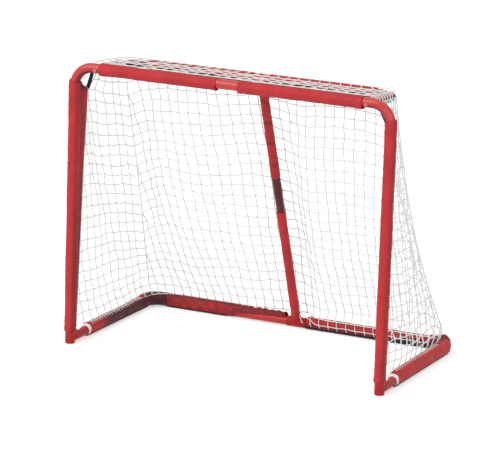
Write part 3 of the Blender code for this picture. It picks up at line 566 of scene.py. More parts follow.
def build_frame(hand, side):
    """One half of the steel frame, with its foot cap, snap button, spring and bolt."""
    crook = POST_X - FRONT_BEND

    def painted_shade(s, k, point):
        """Painted shade on the inner side of the corner bend."""
        if point.z < BEND_Z - 0.01 or abs(point.x) < crook - 0.01:
            return 0, 0
        reach = hypot(point.x - side * crook, point.z - BEND_Z)
        return eased((FRONT_BEND - 0.001 - reach) / 0.013), 0

    def no_floor_shade(s, k, point):
        """Bare stretch beside the strut, on the left: without the painted floor shade, and glossier."""
        kept = eased((point.x + 0.32) / 0.05) if side < 0 and point.y > REAR_Y - 0.03 else 0
        return -0.5 * kept, 0

    corners = [at(side * POST_X, MOUTH_Y, 0.0031), at(side * POST_X, MOUTH_Y, GOAL_HEIGHT),
               at(side * HALF_GAP, MOUTH_Y, GOAL_HEIGHT)]
    tube("front_tube_" + hand, "frame_half_" + hand, corners, 0.05, FRONT_BEND, 18, Y, FRAME_R,
         marks=painted_shade)
    cap = [(0, 0), (0.0172, 0), (0.0186, 0.0006), (0.019, 0.0014), (0.0188, 0.0027),
           (0.017, 0.0029), (0.017, 0.014), (0, 0.014)]
    mesh = Mesh().turned(cap, Matrix.Translation((side * POST_X, MOUTH_Y, 0)))
    mesh.piece("foot_cap_" + hand, RED_PLASTIC, "foot_plug_" + hand, sharp=60)

    corners = [at(side * POST_X, MOUTH_Y + 0.0222, BASE_Z), at(side * POST_X, REAR_Y, BASE_Z),
               at(side * HALF_GAP, REAR_Y, BASE_Z)]
    base = tube("base_tube_" + hand, "base_bar_" + hand, corners, 0.03, BASE_BEND, 14, Z, BASE_R,
                marks=no_floor_shade)
    drill(base, at(side * POST_X, BUTTON_Y, BASE_Z + BASE_R), BUTTON_R + FIT)
    build_button(hand, side)
    build_spring(hand, side)

    arm_start = MOUTH_Y + FRAME_R - 0.003
    corners = [at(side * ARM_X, arm_start, ARM_Z - ARM_SLOPE * (arm_start - MOUTH_Y)),
               at(side * ARM_X, SHELF_Y, SHELF_Z), at(side * HALF_GAP, SHELF_Y, SHELF_Z)]
    tube("shelf_tube_" + hand, "shelf_bar_" + hand, corners, 0.03, SHELF_BEND, 16, Z, SHELF_R, 32)
    rim = FRAME_R + FIT
    bolt = [(0, -0.04), (0.0038, -0.04), (0.0038, rim), (0.0077, rim)]
    bolt += dome(0.008, rim + 0.0006, 0.0039)
    place = Matrix.Translation((side * ARM_X, MOUTH_Y, ARM_Z)) @ Matrix.Rotation(pi / 2, 4, "X")
    Mesh().turned(bolt, place).piece("dome_bolt_" + hand, BOLT_HIGHLIGHT_PAINT, "shelf_bolt_" + hand, sharp=50)


def drill(obj, place, radius):
    """Cut the button's hole through a base tube's upper wall."""
    drill_rod = [(radius, -0.006), (radius, 0.006)]
    cutter = Mesh().turned(drill_rod, Matrix.Translation(place), 24).object("drill")
    hole = obj.modifiers.new("hole", "BOOLEAN")
    hole.operation, hole.solver, hole.object = "DIFFERENCE", "EXACT", cutter
    apply_modifiers(obj)
    bpy.data.objects.remove(cutter)


def build_button(hand, side):
    node = "snap_button_" + hand
    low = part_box(node)[0].z
    profile = [(0, low), (0.0056, low), (BUTTON_FLANGE_R, low + 0.0003),
               (BUTTON_FLANGE_R, low + 0.0009), (BUTTON_R, low + 0.001)]
    profile += dome(BUTTON_R, BASE_Z + BASE_R + 0.0015, 0.003)
    mesh = Mesh().turned(profile, Matrix.Translation((side * POST_X, BUTTON_Y, 0)), 28)
    mesh.piece("button_" + hand, PALE_ZINC, node, body=node, sharp=50)


def build_spring(hand, side):
    """The V spring in a foot stub, whose upper leaf goes down with the button in use; here it is one fixed
    piece with no body.
    """
    low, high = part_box("snap_spring_" + hand)
    half, edge = 0.0004, Y * BUTTON_FLANGE_R
    upper, lower = Z * (high.z - half), Z * (low.z + half)
    centre = at(side * POST_X, BUTTON_Y, 0)
    fold = centre + Y * 0.045 + (upper + lower) / 2
    tip = centre - edge + lower
    path = rounded_path([centre - edge + upper, centre + edge * 2 + upper, fold, tip], 0.0016, 0.0024, 8)
    strip = both_halves([(-half, -0.0034), (-half + 0.0001, -0.0035), (half - 0.0001, -0.0035),
                         (half, -0.0034)])
    mesh = Mesh().loft([ring_at(p, along, X, strip) for p, along in path])
    made = mesh.piece("spring_clip_" + hand, ZINC, "snap_spring_" + hand, body=None, sharp=40)
    rise = X.cross(tip - fold).normalized()
    if rise.z < 0:
        rise.negate()
    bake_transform(made)


def fused(name, node, parts):
    """Round solids fused into one casting with soft fillets."""
    mesh = Mesh()
    for profile, place in parts:
        mesh.turned(profile, place)
    made = mesh.piece(name, RED_PAINT, node)
    melt = made.modifiers.new("melt", "REMESH")
    melt.mode, melt.voxel_size, melt.use_smooth_shade = "VOXEL", 0.0013, True
    ease = made.modifiers.new("ease", "SMOOTH")
    ease.factor, ease.iterations = 0.5, 6
    apply_modifiers(made)
    made.data.shade_smooth()


def build_joints():
    """Tees at both ends of the strut, and the coupling in its middle."""
    for name, node, centre, direction, radius, half, flare in (
            ("base_tee", "rear_tee", STRUT_TOP + STRUT_RUN, -STRUT_LINE, BASE_TEE_R, 0.04, 0.006),
            ("top_tee", "shelf_tee", STRUT_TOP, STRUT_LINE, SHELF_TEE_R, 0.03, 0.001)):
        reach = radius + TEE_REACH
        socket = [(0, 0)]
        socket += [(SOCKET_R + flare * (1 - t / 6) ** 1.3, reach * t / 6) for t in range(6)]
        socket += [(SOCKET_R, reach - 0.0008), (SOCKET_R - 0.0006, reach), (0, reach)]
        fused(name, node, [(rod(radius, half, 0.0008), aimed(centre, X)),
                           (socket, aimed(centre, direction))])
    radius = SHELF_R + FIT + TUBE_WALL
    grooves = []
    for h in (-0.058, 0.058):
        grooves += [(radius, h - 0.004), (radius - 0.0009, h - 0.0015), (radius - 0.0009, h + 0.0015),
                    (radius, h + 0.004)]
    place = aimed(STRUT_TOP + STRUT_LINE * COUPLER_MIDDLE, STRUT_LINE)
    mesh = Mesh().turned(rod(radius, COUPLER_HALF, 0.001, grooves), place, 36)
    mesh.piece("strut_coupler", MAROON_PAINT, "strut_coupling", sharp=50)


# Cloth sleeves
def crumple(s, turn, seed, swell, crease, lean=1):
    """How far slack cloth stands off at a place: broad swells, and creases run round it."""
    c, m = Vector((cos(turn), sin(turn)))
    broad = drift(s * 8, c * 0.9, m * 0.9 + seed)
    bent = s * 34 + lean * drift(s * 6, c * 2, m * 2 + seed) * 2.2
    sharp = (1 - abs(drift(bent, c * 1.1 + seed, m * 1.1))) ** 7
    small = drift(s * 95, c * 4 + seed, m * 4)
    return swell * broad + crease * (sharp - 0.25) + crease * 0.35 * small


def hem(s, length, size=0.0006):
    """A turned-over hem near both ends, with its edge drawn in."""
    near = min(s, length - s)
    edge = eased((0.0035 - near) / 0.0035)
    return size * eased((0.013 - near) / 0.003) - size * 2.2 * edge


def stitch_mark(s, length, seam=False):
    near = min(s, length - s)
    return max(hump(near, 0.01, 0.0022), 0.9 if seam else 0)


def tailed_profile(inward, angle, length, wave):
    """A round sleeve pinched into a flat tail that points inwards and back."""
    tail = angle if inward > 0 else pi - angle
    spread = radians(24)
    turns = [tail + spread + (tau - 2 * spread) * k / 34 for k in range(ROUND_POINTS)]
    points = [(SLEEVE_R * cos(t), SLEEVE_R * sin(t)) for t in turns]
    c, s = cos(tail), sin(tail)
    sheet = [(mix(SLEEVE_R + 0.001, length, t), -mix(0.0042, 0.0013, min(1, t * 1.6)), t)
             for t in (0, 0.2, 0.45, 0.7, 0.92)]
    tip = [(length, -0.001, 1), (length + 0.0004, 0, 1), (length, 0.001, 1)]
    for r, h, t in sheet + tip + [(r, -h, t) for r, h, t in reversed(sheet)]:
        off = h + wave * t * t
        points.append((c * r - s * off, s * r + c * off))
    return points


def tail_turn(height, side):
    """How far a post sleeve's tail has turned towards straight back: the lower, the further."""
    share = share_of((height - POST_SLEEVE_FOOT) / (TAIL_TOP - POST_SLEEVE_FOOT))
    further = radians(8) * eased((1 - share) * 3) if side < 0 else 0
    return mix(TAIL_FOOT_ANGLE, TAIL_ANGLE, share) + further


def tail_reach(height):
    """The tail's length: full up to its top, then sloping off to the corner bend."""
    if height < BEND_Z:
        down = eased((height - TAIL_TOP) / (BEND_Z - TAIL_TOP))
        return mix(TAIL_LENGTH, TAIL_SHOULDER, down)
    last = FRONT_BEND * sin(POST_SLEEVE_TURN)
    return mix(TAIL_SHOULDER, SLEEVE_R + 0.003, min(1, (height - BEND_Z) / last))


def build_post_sleeve(hand, side):
    seed = 3.1 if side < 0 else 8.6
    path = rounded_path([at(side * POST_X, MOUTH_Y, POST_SLEEVE_FOOT),
                         at(side * POST_X, MOUTH_Y, BEND_Z)], 0.0065)
    centre = at(side * (POST_X - FRONT_BEND), MOUTH_Y, BEND_Z)
    for k in range(1, 6):
        turn = POST_SLEEVE_TURN * k / 5
        path.append((centre + at(side * cos(turn), 0, sin(turn)) * FRONT_BEND,
                     at(-side * sin(turn), 0, cos(turn))))
    total = lengths(path)[-1]
    # Painted shade in the folds where the tail leaves the round part
    fold_shade = dict.fromkeys((0, 1, 33, 34, 35, 47), 0.85) | {2: 0.6, 32: 0.6, 3: 0.3, 31: 0.3}

    def section(s, point):
        wave = 0.0022 * drift(s * 5, seed, 0) + 0.0014 * drift(s * 21, seed, 4)
        reach = tail_reach(point.z)
        reach += 0.0014 * drift(s * 16, seed, 9) * (1 if point.z < TAIL_TOP - 0.02 else 0)
        reach = max(reach - 0.0005, SLEEVE_R + 0.0025)

        def off(k, a, b):
            share, swell, crease = (1, 0.0014, 0.0013) if k < ROUND_POINTS else (0.3, 0.0005, 0.0008)
            slack = share * crumple(s, atan2(b, a), seed, swell, crease)
            return max(slack, -0.0013) + hem(s, total)

        return moved(tailed_profile(side, tail_turn(point.z, side), reach, wave), off)

    def marks(s, k, point):
        # Painted shade: on the tail, deeper lower down; on the right post less of it and a band on the
        # round part; on the left post the round part's inner side, deeper lower down. Bound is the dark
        # binding along the tail's top.
        tail = 1 if k >= ROUND_POINTS else 0
        far = (0.25 + 0.6 * eased((0.8 - point.z) / 0.35)) * tail
        if side > 0:
            far = max(0.6 * far, 0.5 * hump(k, 12, 3))
        elif not tail:
            inwards = (point.x + POST_X) * 0.904 + (point.y - MOUTH_Y) * 0.427
            shade_depth = mix(0.62, 0.34, eased((point.z - 0.35) / 0.35))
            far = shade_depth * eased((inwards + 0.001) / 0.009)
        bound = eased((point.z - TAIL_TOP + 0.014) / 0.008) * tail
        dark = max(fold_shade.get(k, 0) * 0.85, far, bound)
        return dark, stitch_mark(s, total, k in TAIL_SEAMS)

    mesh = Mesh().shell(path, Y, section, CLOTH, marks)
    mesh.piece("post_cover_" + hand, RED_NYLON, "post_sleeve_" + hand)


def round_sleeve(name, node, start, end, up, radius, floor, seed, swell, crease, sides=32,
                 extra=None, panel=None):
    """A slip-on sleeve round a tube: floor is the least radius that clears what it covers."""
    length = (end - start).length
    base = circle(1, sides)

    def section(s, point):
        out = []
        for c, m in base:
            turn = atan2(m, c)
            r = radius + crumple(s, turn, seed, swell, crease) + hem(s, length)
            if extra:
                r += extra(s / length, turn)
            r = max(r, floor)
            out.append((r * c, r * m))
        return out

    def marks(s, k, point):
        dark = panel(s / length, atan2(base[k][1], base[k][0])) if panel else 0
        return dark, stitch_mark(s, length, k == sides // 2)

    mesh = Mesh().shell(rounded_path([start, end], 0.007), up, section, CLOTH, marks)
    mesh.piece(name, RED_NYLON, node)


def droop(t, turn):
    """How far a crossbar sleeve hangs below its tube, more so towards its ends."""
    down = -sin(turn)
    return down * (0.0024 + 0.0014 * hump(t, 1, 0.05)) + 0.0016 * hump(t, 0.03, 0.05) * abs(down)


def underside(t, turn):
    """The shaded underside of a crossbar sleeve."""
    return 0.45 * eased((-sin(turn) - 0.7) / 0.28)


def tied_bands_and_side_shade(t, turn):
    """Darker bands round the upper strut sleeve, where it was tied, and painted shade down its right side.
    """
    tied = max(hump(t, middle + lean * sin(turn), 0.018)
               for middle, lean in ((0.06, 0.05), (0.32, 0.008), (0.57, 0), (0.83, 0.006)))
    return max(0.9 * tied, 0.55 * hump(turn, 1.65, 0.4), 0.12)


def build_bar_sleeves(hand, side):
    bare, seed = (0.05, 12.4) if side < 0 else (0.039, 17.9)
    round_sleeve("crossbar_cover_" + hand, "crossbar_sleeve_" + hand,
                 at(side * 0.5332, MOUTH_Y, GOAL_HEIGHT), at(side * bare, MOUTH_Y, GOAL_HEIGHT), Z,
                 SLEEVE_R + FIT, 0.0205, seed, 0.0012, 0.0014, 40, droop, underside)
    round_sleeve("shelf_cover_" + hand, "shelf_sleeve_" + hand, at(side * SHELF_OUT, SHELF_Y, SHELF_Z),
                 at(side * SHELF_IN, SHELF_Y, SHELF_Z), Z, SHELF_SLEEVE_R, 0.016, seed + 3, 0.0007,
                 0.0006)


def build_strut_sleeves():
    for level, first, last, seed, swell, crease, panel in (
            ("upper", SHELF_TEE_R + TEE_REACH + FIT, COUPLER_MIDDLE - COUPLER_HALF - FIT,
             23, 0.001, 0.0011, tied_bands_and_side_shade),
            ("lower", COUPLER_MIDDLE + COUPLER_HALF + FIT, STRUT_RUN.length - BASE_TEE_R - TEE_REACH - FIT,
             29, 0.0009, 0.0009, None)):
        round_sleeve("strut_cover_" + level, "strut_sleeve_" + level, STRUT_TOP + STRUT_LINE * first,
                     STRUT_TOP + STRUT_LINE * last, X, STRUT_SLEEVE_R + FIT, 0.0156, seed, swell,
                     crease, panel=panel)


def base_slack(a, b, s, length, seed, swell, crease, lean, edge, bunch=0):
    """How far a base sleeve's cloth stands off at a place, and how free it is: less on the floor."""
    free, least = (0.25, -0.0004) if b < 0.008 else (1, -0.0012)
    turn = atan2(b - 0.028, a)
    pleat = bunch * 0.0016 * sin(s * 330 + 2 * sin(turn))
    off = (crumple(s, turn, seed, swell, crease, lean) + pleat) * free + hem(s, length, edge)
    return max(off, least), free


def build_side_sleeve(hand, side):
    """A sleeve along a side bar and round its rear corner: stiff on the right, slack on the left."""
    left, right = (41, 0.1, 0.9, 1.25, 0.15), (52, 1, 0, 0.9, 0.08)
    seed, stiff, slack, darkening, darkening_run = left if side < 0 else right
    corners = [at(side * POST_X, SIDE_SLEEVE_Y, 0), at(side * POST_X, REAR_Y, 0),
               at(side * (REAR_OUT + FIT), REAR_Y, 0)]
    path = rounded_path(corners, 0.0075, BASE_BEND, 14)
    length = lengths(path)[-1]
    corner = length - 0.0152 - BASE_BEND * pi / 4
    flat = loose_section(0.0465, SLEEVE_TOP)
    square = loose_section(0.0485, SLEEVE_TOP, looseness=0.42)
    drawn_in = loose_section(0.0446, LACED_TOP)

    def section(s, point):
        bunch = hump(s, corner, 0.034)
        tight = max(eased(1 - s / 0.04), slack * eased((corner - 0.04 - s) / 0.07))
        shape = blended(blended(flat, square, 0.75 * hump(s, corner, 0.045) * stiff), drawn_in, tight)
        out = []
        for k, (a, b) in enumerate(flat):
            n, m = outward(flat, k)
            off, free = base_slack(a, b, s, length, seed, 0.0016, 0.0015, 1.6, 0.0008, bunch)
            crown = max(0, m) * 0.005 * bunch + max(0, m) ** 3 * 0.006 * hump(s, corner, 0.018)
            out.append((shape[k][0] + n * (off + 0.0012 * bunch * free),
                        shape[k][1] + m * off + crown * stiff))
        return out

    def marks(s, k, point):
        # Darker on the inner face, fading in from the front end, and on the front face by the rear corner;
        # deeper on the left
        inner = eased((POST_X - side * point.x + 0.004) / 0.012)
        blotch = 1 + 0.35 * drift(s * 14, k * 0.3, 8)
        inner *= eased((s - 0.03) / darkening_run) * blotch
        if s > length - 0.09:
            inner = max(inner, eased((REAR_Y - point.y + 0.004) / 0.012))
        return darkening * inner, stitch_mark(s, length, k == TOP_POINT)

    mesh = Mesh().shell(path, Z, section, BASE_CLOTH, marks)
    mesh.piece("side_cover_" + hand, RED_NYLON, "side_sleeve_" + hand)
    build_cuff(hand, side)


def build_cuff(hand, side):
    """A puffed, ribbed elastic band that closes the side sleeve's front end onto the tube."""
    end = SIDE_SLEEVE_Y - FIT
    path = rounded_path([at(side * POST_X, end - 0.0125, 0), at(side * POST_X, end, 0)], 0.001)
    mouth = loose_section(0.0452, 0.0468, 120, 0.86, SLEEVE_FLOOR + 0.0004)
    turns = [tau * (k + 0.5) / 120 for k in range(120)]
    snug = [(0.0198 * cos(t), BASE_Z + 0.0198 * sin(t)) for t in turns]

    def section(s, point):
        share = min(1, s / 0.003) ** 0.5

        def off(k, a, b):
            ribs = 0.0007 * sin(k * tau / 5) * share
            return -0.0008 + ribs + 0.0007 * drift(k * 0.16, s * 60, 5 + side)

        return [(a, max(b, 0.0009)) for a, b in moved(blended(snug, mouth, share), off)]

    mesh = Mesh().shell(path, Z, section, CLOTH)
    mesh.piece("cuff_" + hand, WHITE_ELASTIC, "elastic_cuff_" + hand)


def build_rear_sleeve(hand, side):
    """The right sleeve lies along the bar; the left one is drawn up off it near the strut."""
    flat = loose_section(0.0445, SLEEVE_TOP if side < 0 else LACED_TOP)
    path = rounded_path([at(side * REAR_OUT, REAR_Y, 0), at(side * REAR_IN, REAR_Y, 0)], 0.0065)
    length = REAR_OUT - REAR_IN
    seed, size = (61, 1.5) if side < 0 else (77, 1)

    def section(s, point):
        drawn = eased((s - (REAR_OUT - REAR_BARE + 0.02)) / 0.07) if side < 0 else 0
        loose = moved(flat, lambda k, a, b: base_slack(a, b, s, length, seed, 0.0013 * size,
                                                       0.0014 * size, 2.2, 0.0007)[0])
        return [gathered(x, z, s, drawn) for x, z in loose] if drawn else loose

    def marks(s, k, point):
        inner = eased((REAR_Y - point.y) / 0.01)
        if side > 0:
            dark = max(0.26, 0.8 * inner * eased((0.03 - point.z) / 0.008))
        else:
            blotch = 0.5 + 1.3 * drift(s * 42, point.z * 75, 2)
            dark = max(inner * (0.22 + 0.5 * blotch), 0.85 * eased((point.z - 0.04) / 0.012),
                       0.7 * eased((0.014 - point.z) / 0.008), 0.8 * eased(1 - s / 0.07),
                       0.8 * eased((s - 0.28) / 0.06))
        return share_of(dark), stitch_mark(s, length)

    mesh = Mesh().shell(path, Z, section, BASE_CLOTH, marks)
    mesh.piece("rear_cover_" + hand, RED_NYLON, "rear_sleeve_" + hand)


def gathered(x, z, s, drawn):
    """Where drawn up, the cloth hugs the tube's upper back and its hem lies over its top."""
    share = (atan2(z - 0.028, x) - pi / 2) / pi
    share = (share + 1) % 2 - 1
    low = radians(mix(13, 41, share_of((s - 0.34) / 0.17)))
    high = radians(206)
    angle = (low + high) / 2 + share * (high - low) / 2
    thick = 0.0052 + 0.0026 * drift(s * 26, angle * 1.4, 7) + 0.0016 * drift(s * 70, angle * 3, 1)
    fold = 0.0018 * sin(s * 210 + 3 * cos(angle))
    upper = max(0, sin(angle))
    r = BASE_R + 0.0016 + max(0.0004, thick + fold * sin(max(0, angle)))
    over = BASE_Z + r * (1 + 0.3 * upper) * sin(angle)
    return mix(x, r * cos(angle), drawn), mix(z, over, drawn)


# Black tapes
def tape_profile(radius, bare):
    """Tape down from the front of the shelf sleeve, or wound under the arm where that is bare."""
    rings = []
    for r in (radius + TAPE, radius):
        ring = []
        for k in range(15):
            flap = radians(mix(-8, -30, min(1, k / 4)))
            drop = 0.02 * max(0, (k - 4) / 10)
            under = radians(mix(34, -214, k / 14))
            ring.append((mix(r * cos(flap), r * cos(under), bare),
                         mix(r * sin(flap) - drop, r * sin(under), bare)))
        rings.append(ring)
    return rings[0] + rings[1][::-1]


def webbing_outline(dense, top, s):
    """Webbing under a base sleeve's loose section, turned up at its sides to a height."""
    keep = [(a, b) for a, b in dense if b <= top]
    keep.sort(key=lambda p: (p[0] > 0, p[1] if p[0] > 0 else -p[1]))
    half = resample(keep, 22)
    outer, inner = [], []
    for j, (a, b) in enumerate(half):
        p, q = half[max(0, j - 1)], half[min(len(half) - 1, j + 1)]
        run = hypot(q[0] - p[0], q[1] - p[1]) or 1
        n, m = (q[1] - p[1]) / run, -(q[0] - p[0]) / run
        off = 0.0022 + 0.0004 * drift(s * 30, j * 0.4, 3)
        outer.append((a + n * off, max(0, b + m * off)))
        inner.append((a + n * 0.0004, max(0.0003, b + m * 0.0004)))
    return outer + inner[::-1]


def resample(points, count):
    total = [0]
    for (a, b), (c, d) in zip(points, points[1:]):
        total.append(total[-1] + hypot(c - a, d - b))
    out, k = [], 0
    for j in range(count):
        want = total[-1] * j / (count - 1)
        while k < len(total) - 2 and total[k + 1] < want:
            k += 1
        t = (want - total[k]) / (total[k + 1] - total[k] or 1)
        out.append((mix(points[k][0], points[k + 1][0], t), mix(points[k][1], points[k + 1][1], t)))
    return out


def build_tape(name, node, corners, outline, *bend):
    """A tape along a path: outline(s) is its edge in the plane square to the path."""
    path = rounded_path(corners, 0.01, *bend)
    loops = [ring_at(point, along, Z, outline(s)) for (point, along), s in zip(path, lengths(path))]
    Mesh().loft(loops).piece(name, BLACK_WEB, node, sharp=50)


def build_tapes(hand, side):
    """The tape under the shelf sleeve, round the corner and under the arm, and the wear strips."""
    rear = loose_section(0.0445, SLEEVE_TOP, 160, bottom=SLEEVE_FLOOR)
    wide = loose_section(0.0465, SLEEVE_TOP, 160, bottom=SLEEVE_FLOOR)

    def shelf_outline(s):
        bare = eased((s - 0.436) / 0.006)
        radius = mix(SHELF_SLEEVE_R + TAPE, SHELF_R + 0.0008, bare) + 0.0003 * drift(s * 40, side, 0)
        return [(side * a, b) for a, b in tape_profile(radius, bare)]

    def rear_outline(s):
        # On the right the webbing rises to 33 mm at the outer end, then falls to 14.5 mm: the strip is
        # real, and its extra height at that end is painted shade
        top = 0.007 if side < 0 else mix(0.033, 0.0145, eased((s - 0.1) / 0.06))
        return webbing_outline(rear, top, s)

    build_tape("shelf_tape_" + hand, "shelf_strip_" + hand,
               [at(side * SHELF_IN, SHELF_Y, SHELF_Z), at(side * ARM_X, SHELF_Y, SHELF_Z),
                at(side * ARM_X, MOUTH_Y + 0.03, ARM_Z - ARM_SLOPE * 0.03)], shelf_outline, SHELF_BEND, 12)
    stop = REAR_BARE if side < 0 else REAR_IN
    build_tape("rear_tape_" + hand, "rear_strip_" + hand,
               [at(side * REAR_OUT, REAR_Y, 0), at(side * stop, REAR_Y, 0)], rear_outline)
    build_tape("side_tape_" + hand, "side_strip_" + hand,
               [at(side * POST_X, MOUTH_Y + 0.117, 0), at(side * POST_X, REAR_Y - BASE_BEND, 0)],
               lambda s: webbing_outline(wide, 0.0088, s))
    build_corner_strap(hand, side)


def build_corner_strap(hand, side):
    """A doubled strap from the crossbar's back to the top of the sleeve's tail."""
    low = at(side * (POST_X - TAIL_LENGTH * cos(TAIL_ANGLE)),
             MOUTH_Y + TAIL_LENGTH * sin(TAIL_ANGLE), 0.9855)
    high = at(side * (POST_X - 0.069), MOUTH_Y + FRAME_R + 0.0014, GOAL_HEIGHT + 0.006)
    along = (high - low).normalized()
    across = along.cross(Y).normalized()
    face = across.cross(along)
    thin = 0.001
    mesh = Mesh()
    for shift, depth in ((-0.0043, 0), (0.0043, 0.0016)):
        loops = []
        for k in range(15):
            t = k / 14
            bow = sin(pi * t)
            centre = low.lerp(high, t) + across * shift + face * (depth + 0.0022 * bow)
            half = 0.0041 * (1 - 0.15 * bow)
            outline = both_halves([(-half, -thin), (0, -thin * 1.3), (half, -thin)])
            loops.append([centre + across * a + face * b for a, b in outline])
        mesh.loft(loops)
    mesh.piece("corner_loop_" + hand, BLACK_WEB, "corner_strap_" + hand, sharp=50)


# Nets
def corner_at(t):
    """The nets' rear corner a share t up: its centre's x and y, and its radius."""
    return (mix(POST_X - BASE_BEND, ARM_X - SHELF_BEND, t),
            mix(REAR_Y - BASE_BEND, SHELF_Y - SHELF_BEND, t), mix(LOW_CORNER_R, TOP_CORNER_R, t))


def free_share(t):
    """How free a row is to hang: none at the bars, all between them."""
    return eased(t / 0.1) * eased((1 - t) / 0.06)


def seam_shift(t, side):
    """Where the net's weight draws its rear corner: inwards, forward and down."""
    pull = 0.021 * sin(pi * t) ** 1.1
    drop = (0.046 if side < 0 else 0.022) * eased(t / 0.35) * eased((1 - t) / 0.06)
    return at(-side * pull, -pull, -drop)


def tucked(t, angle, side, share):
    """How the lowest row turns over onto the inner face of a base sleeve."""
    low = eased(1 - t / 0.05) * share
    return at(-side * sin(angle) * 0.0195, -cos(angle) * 0.0195, -0.0065) * low


def back_span(t):
    middle, _, radius = corner_at(t)
    return middle + radius * SEAM


def back_column(k, t):
    """How far column k lies from the back net's middle: the columns draw together lower down."""
    a = k * 0.0413 * mix(0.86 if k < 0 else 0.83, 1, t)
    a += 0.016 * drift(k * 0.22, t * 2.5, 5) * sin(pi * t)
    bunch = 0.45 * hump(a, 0.085, 0.05) * hump(t, 0.36, 0.16)
    return mix(a, 0.085, bunch)


def back_place(a, t):
    """A point of the back net, a metres from its middle and a share t up it."""
    side = -1 if a < 0 else 1
    cx, cy, radius = corner_at(t)
    reach = abs(a)
    angle = max(0, reach - cx) / radius
    behind_run, deep, deep_run = (0.18, 0.075, 0.34) if side < 0 else (0.11, 0.07, 0.13)
    behind = 1 - eased((reach - 0.03) / behind_run)
    y = mix(cy + radius * cos(angle), mix(REAR_Y, SHELF_Y, t) + STRUT_PASS, behind)
    point = at(side * (min(reach, cx) + radius * sin(angle)), y, mix(NET_LOW, SHELF_Z, t))
    edge = max(0, back_span(t) - reach)
    near = eased(1 - edge / 0.15)
    pulled = seam_shift(t, side)
    deep *= eased((reach - 0.05) / deep_run)
    row = 0.02 * drift(a * 4.5, t * 3.1, 11) - 0.008 * sin(pi * reach / 0.6) ** 2
    slack = at(0, -deep * sin(pi * t) ** 1.4, row)
    slack.y -= 0.008 * drift(a * 5, t * 3.4, 17) * (1 - behind)
    slack = slack.lerp(at(pulled.x, pulled.y, 0), near) * free_share(t)
    slack.z += pulled.z * max(0, 1 - edge / 0.15) ** 1.25
    share = 1 if side > 0 and reach > 0.06 else near
    return point + slack + tucked(t, angle, side, share)


def side_front(t, side):
    """The side net's front border: down the tip of the post sleeve's tail."""
    turn = tail_turn(mix(NET_LOW, ARM_Z, t), side)
    return POST_X - TAIL_LENGTH * cos(turn), MOUTH_Y + (TAIL_LENGTH + 0.0016) * sin(turn)


def side_span(t, side):
    _, cy, radius = corner_at(t)
    return radius * (pi / 2 - SEAM) + cy - side_front(t, side)[1]


def side_column(k, t, side):
    """How far column k lies forward of the seam. The columns keep along the seam."""
    a = k * mix(0.053, 0.0435, t) + 0.01 * drift(k * 0.35, t * 2.6, 21 + side)
    if side < 0:
        a = mix(a, 0.262, 0.55 * hump(a, 0.262, 0.12) * hump(t, 0.66, 0.26))
    return a


def side_place(a, t, side):
    """A point of a side net, a metres forward of its seam and a share t up it."""
    cx, cy, radius = corner_at(t)
    arc = radius * (pi / 2 - SEAM)
    angle = SEAM + min(a, arc) / radius
    y = cy + radius * cos(angle) - max(0, a - arc)
    wide = cx + radius * sin(angle)
    tail_x, tail_y = side_front(t, side)
    front_x = mix(tail_x, wide, eased((t - 0.9) / 0.1))
    x = mix(front_x, wide, eased((y - tail_y) / 0.16))
    point = at(side * x, y, mix(NET_LOW, ARM_Z - ARM_SLOPE * (y - MOUTH_Y), t))
    span = side_span(t, side)
    forward = eased((span - a) / 0.09)
    row = 0.02 * drift(a * 4.2, t * 3.4, 27 + side)
    row -= 0.01 * sin(pi * min(1, a / span))
    out = 0.017 * hump(a / span, 0.6, 0.3) * sin(pi * t) ** 0.7
    out += 0.006 * drift(a * 5, t * 3, 33 + side)
    pulled = seam_shift(t, side)
    slack = at(side * out * forward, 0, row * forward)
    slack = slack.lerp(at(pulled.x, pulled.y, 0), eased(1 - a / 0.22)) * free_share(t)
    slack.z += pulled.z * max(0, 1 - a / 0.25) ** 1.25 * forward
    share = eased((y - MOUTH_Y - 0.12) / 0.05)
    if side < 0:
        lower = eased((REAR_Y - BASE_BEND - y) / 0.07)
        slack.z -= 0.003 * lower * eased(1 - t / 0.05)
        share *= 1 - 0.5 * lower
    return point + slack + tucked(t, angle, side, share)


def top_place(a, v):
    """A point of the top net, a from -1 to 1 and v from the crossbar (0) to the shelf bar (1)."""
    y = mix(MOUTH_Y, SHELF_Y, v)
    past = max(0, y - (SHELF_Y - SHELF_BEND))
    half = ARM_X - SHELF_BEND + sqrt((SHELF_BEND + SHELF_R) ** 2 - past ** 2)
    inside = eased((1 - abs(a)) / 0.06) * eased(v / 0.2) * eased((1 - v) / 0.2)
    slack = at(0.006 * drift(a * 5, v * 3, 45), 0.005 * drift(a * 4, v * 3, 49),
               -0.004 - 0.003 * drift(a * 6, v * 2, 41))
    return at(a * half, y, mix(1.0973, 1.0746, v)) + slack * inside


def crossing(gap, inner, outer):
    """The height between two rows at which a column's gap to a border closes."""
    first = gap(inner)
    for _ in range(24):
        middle = (inner + outer) / 2
        if gap(middle) * first > 0:
            inner = middle
        else:
            outer = middle
    return inner


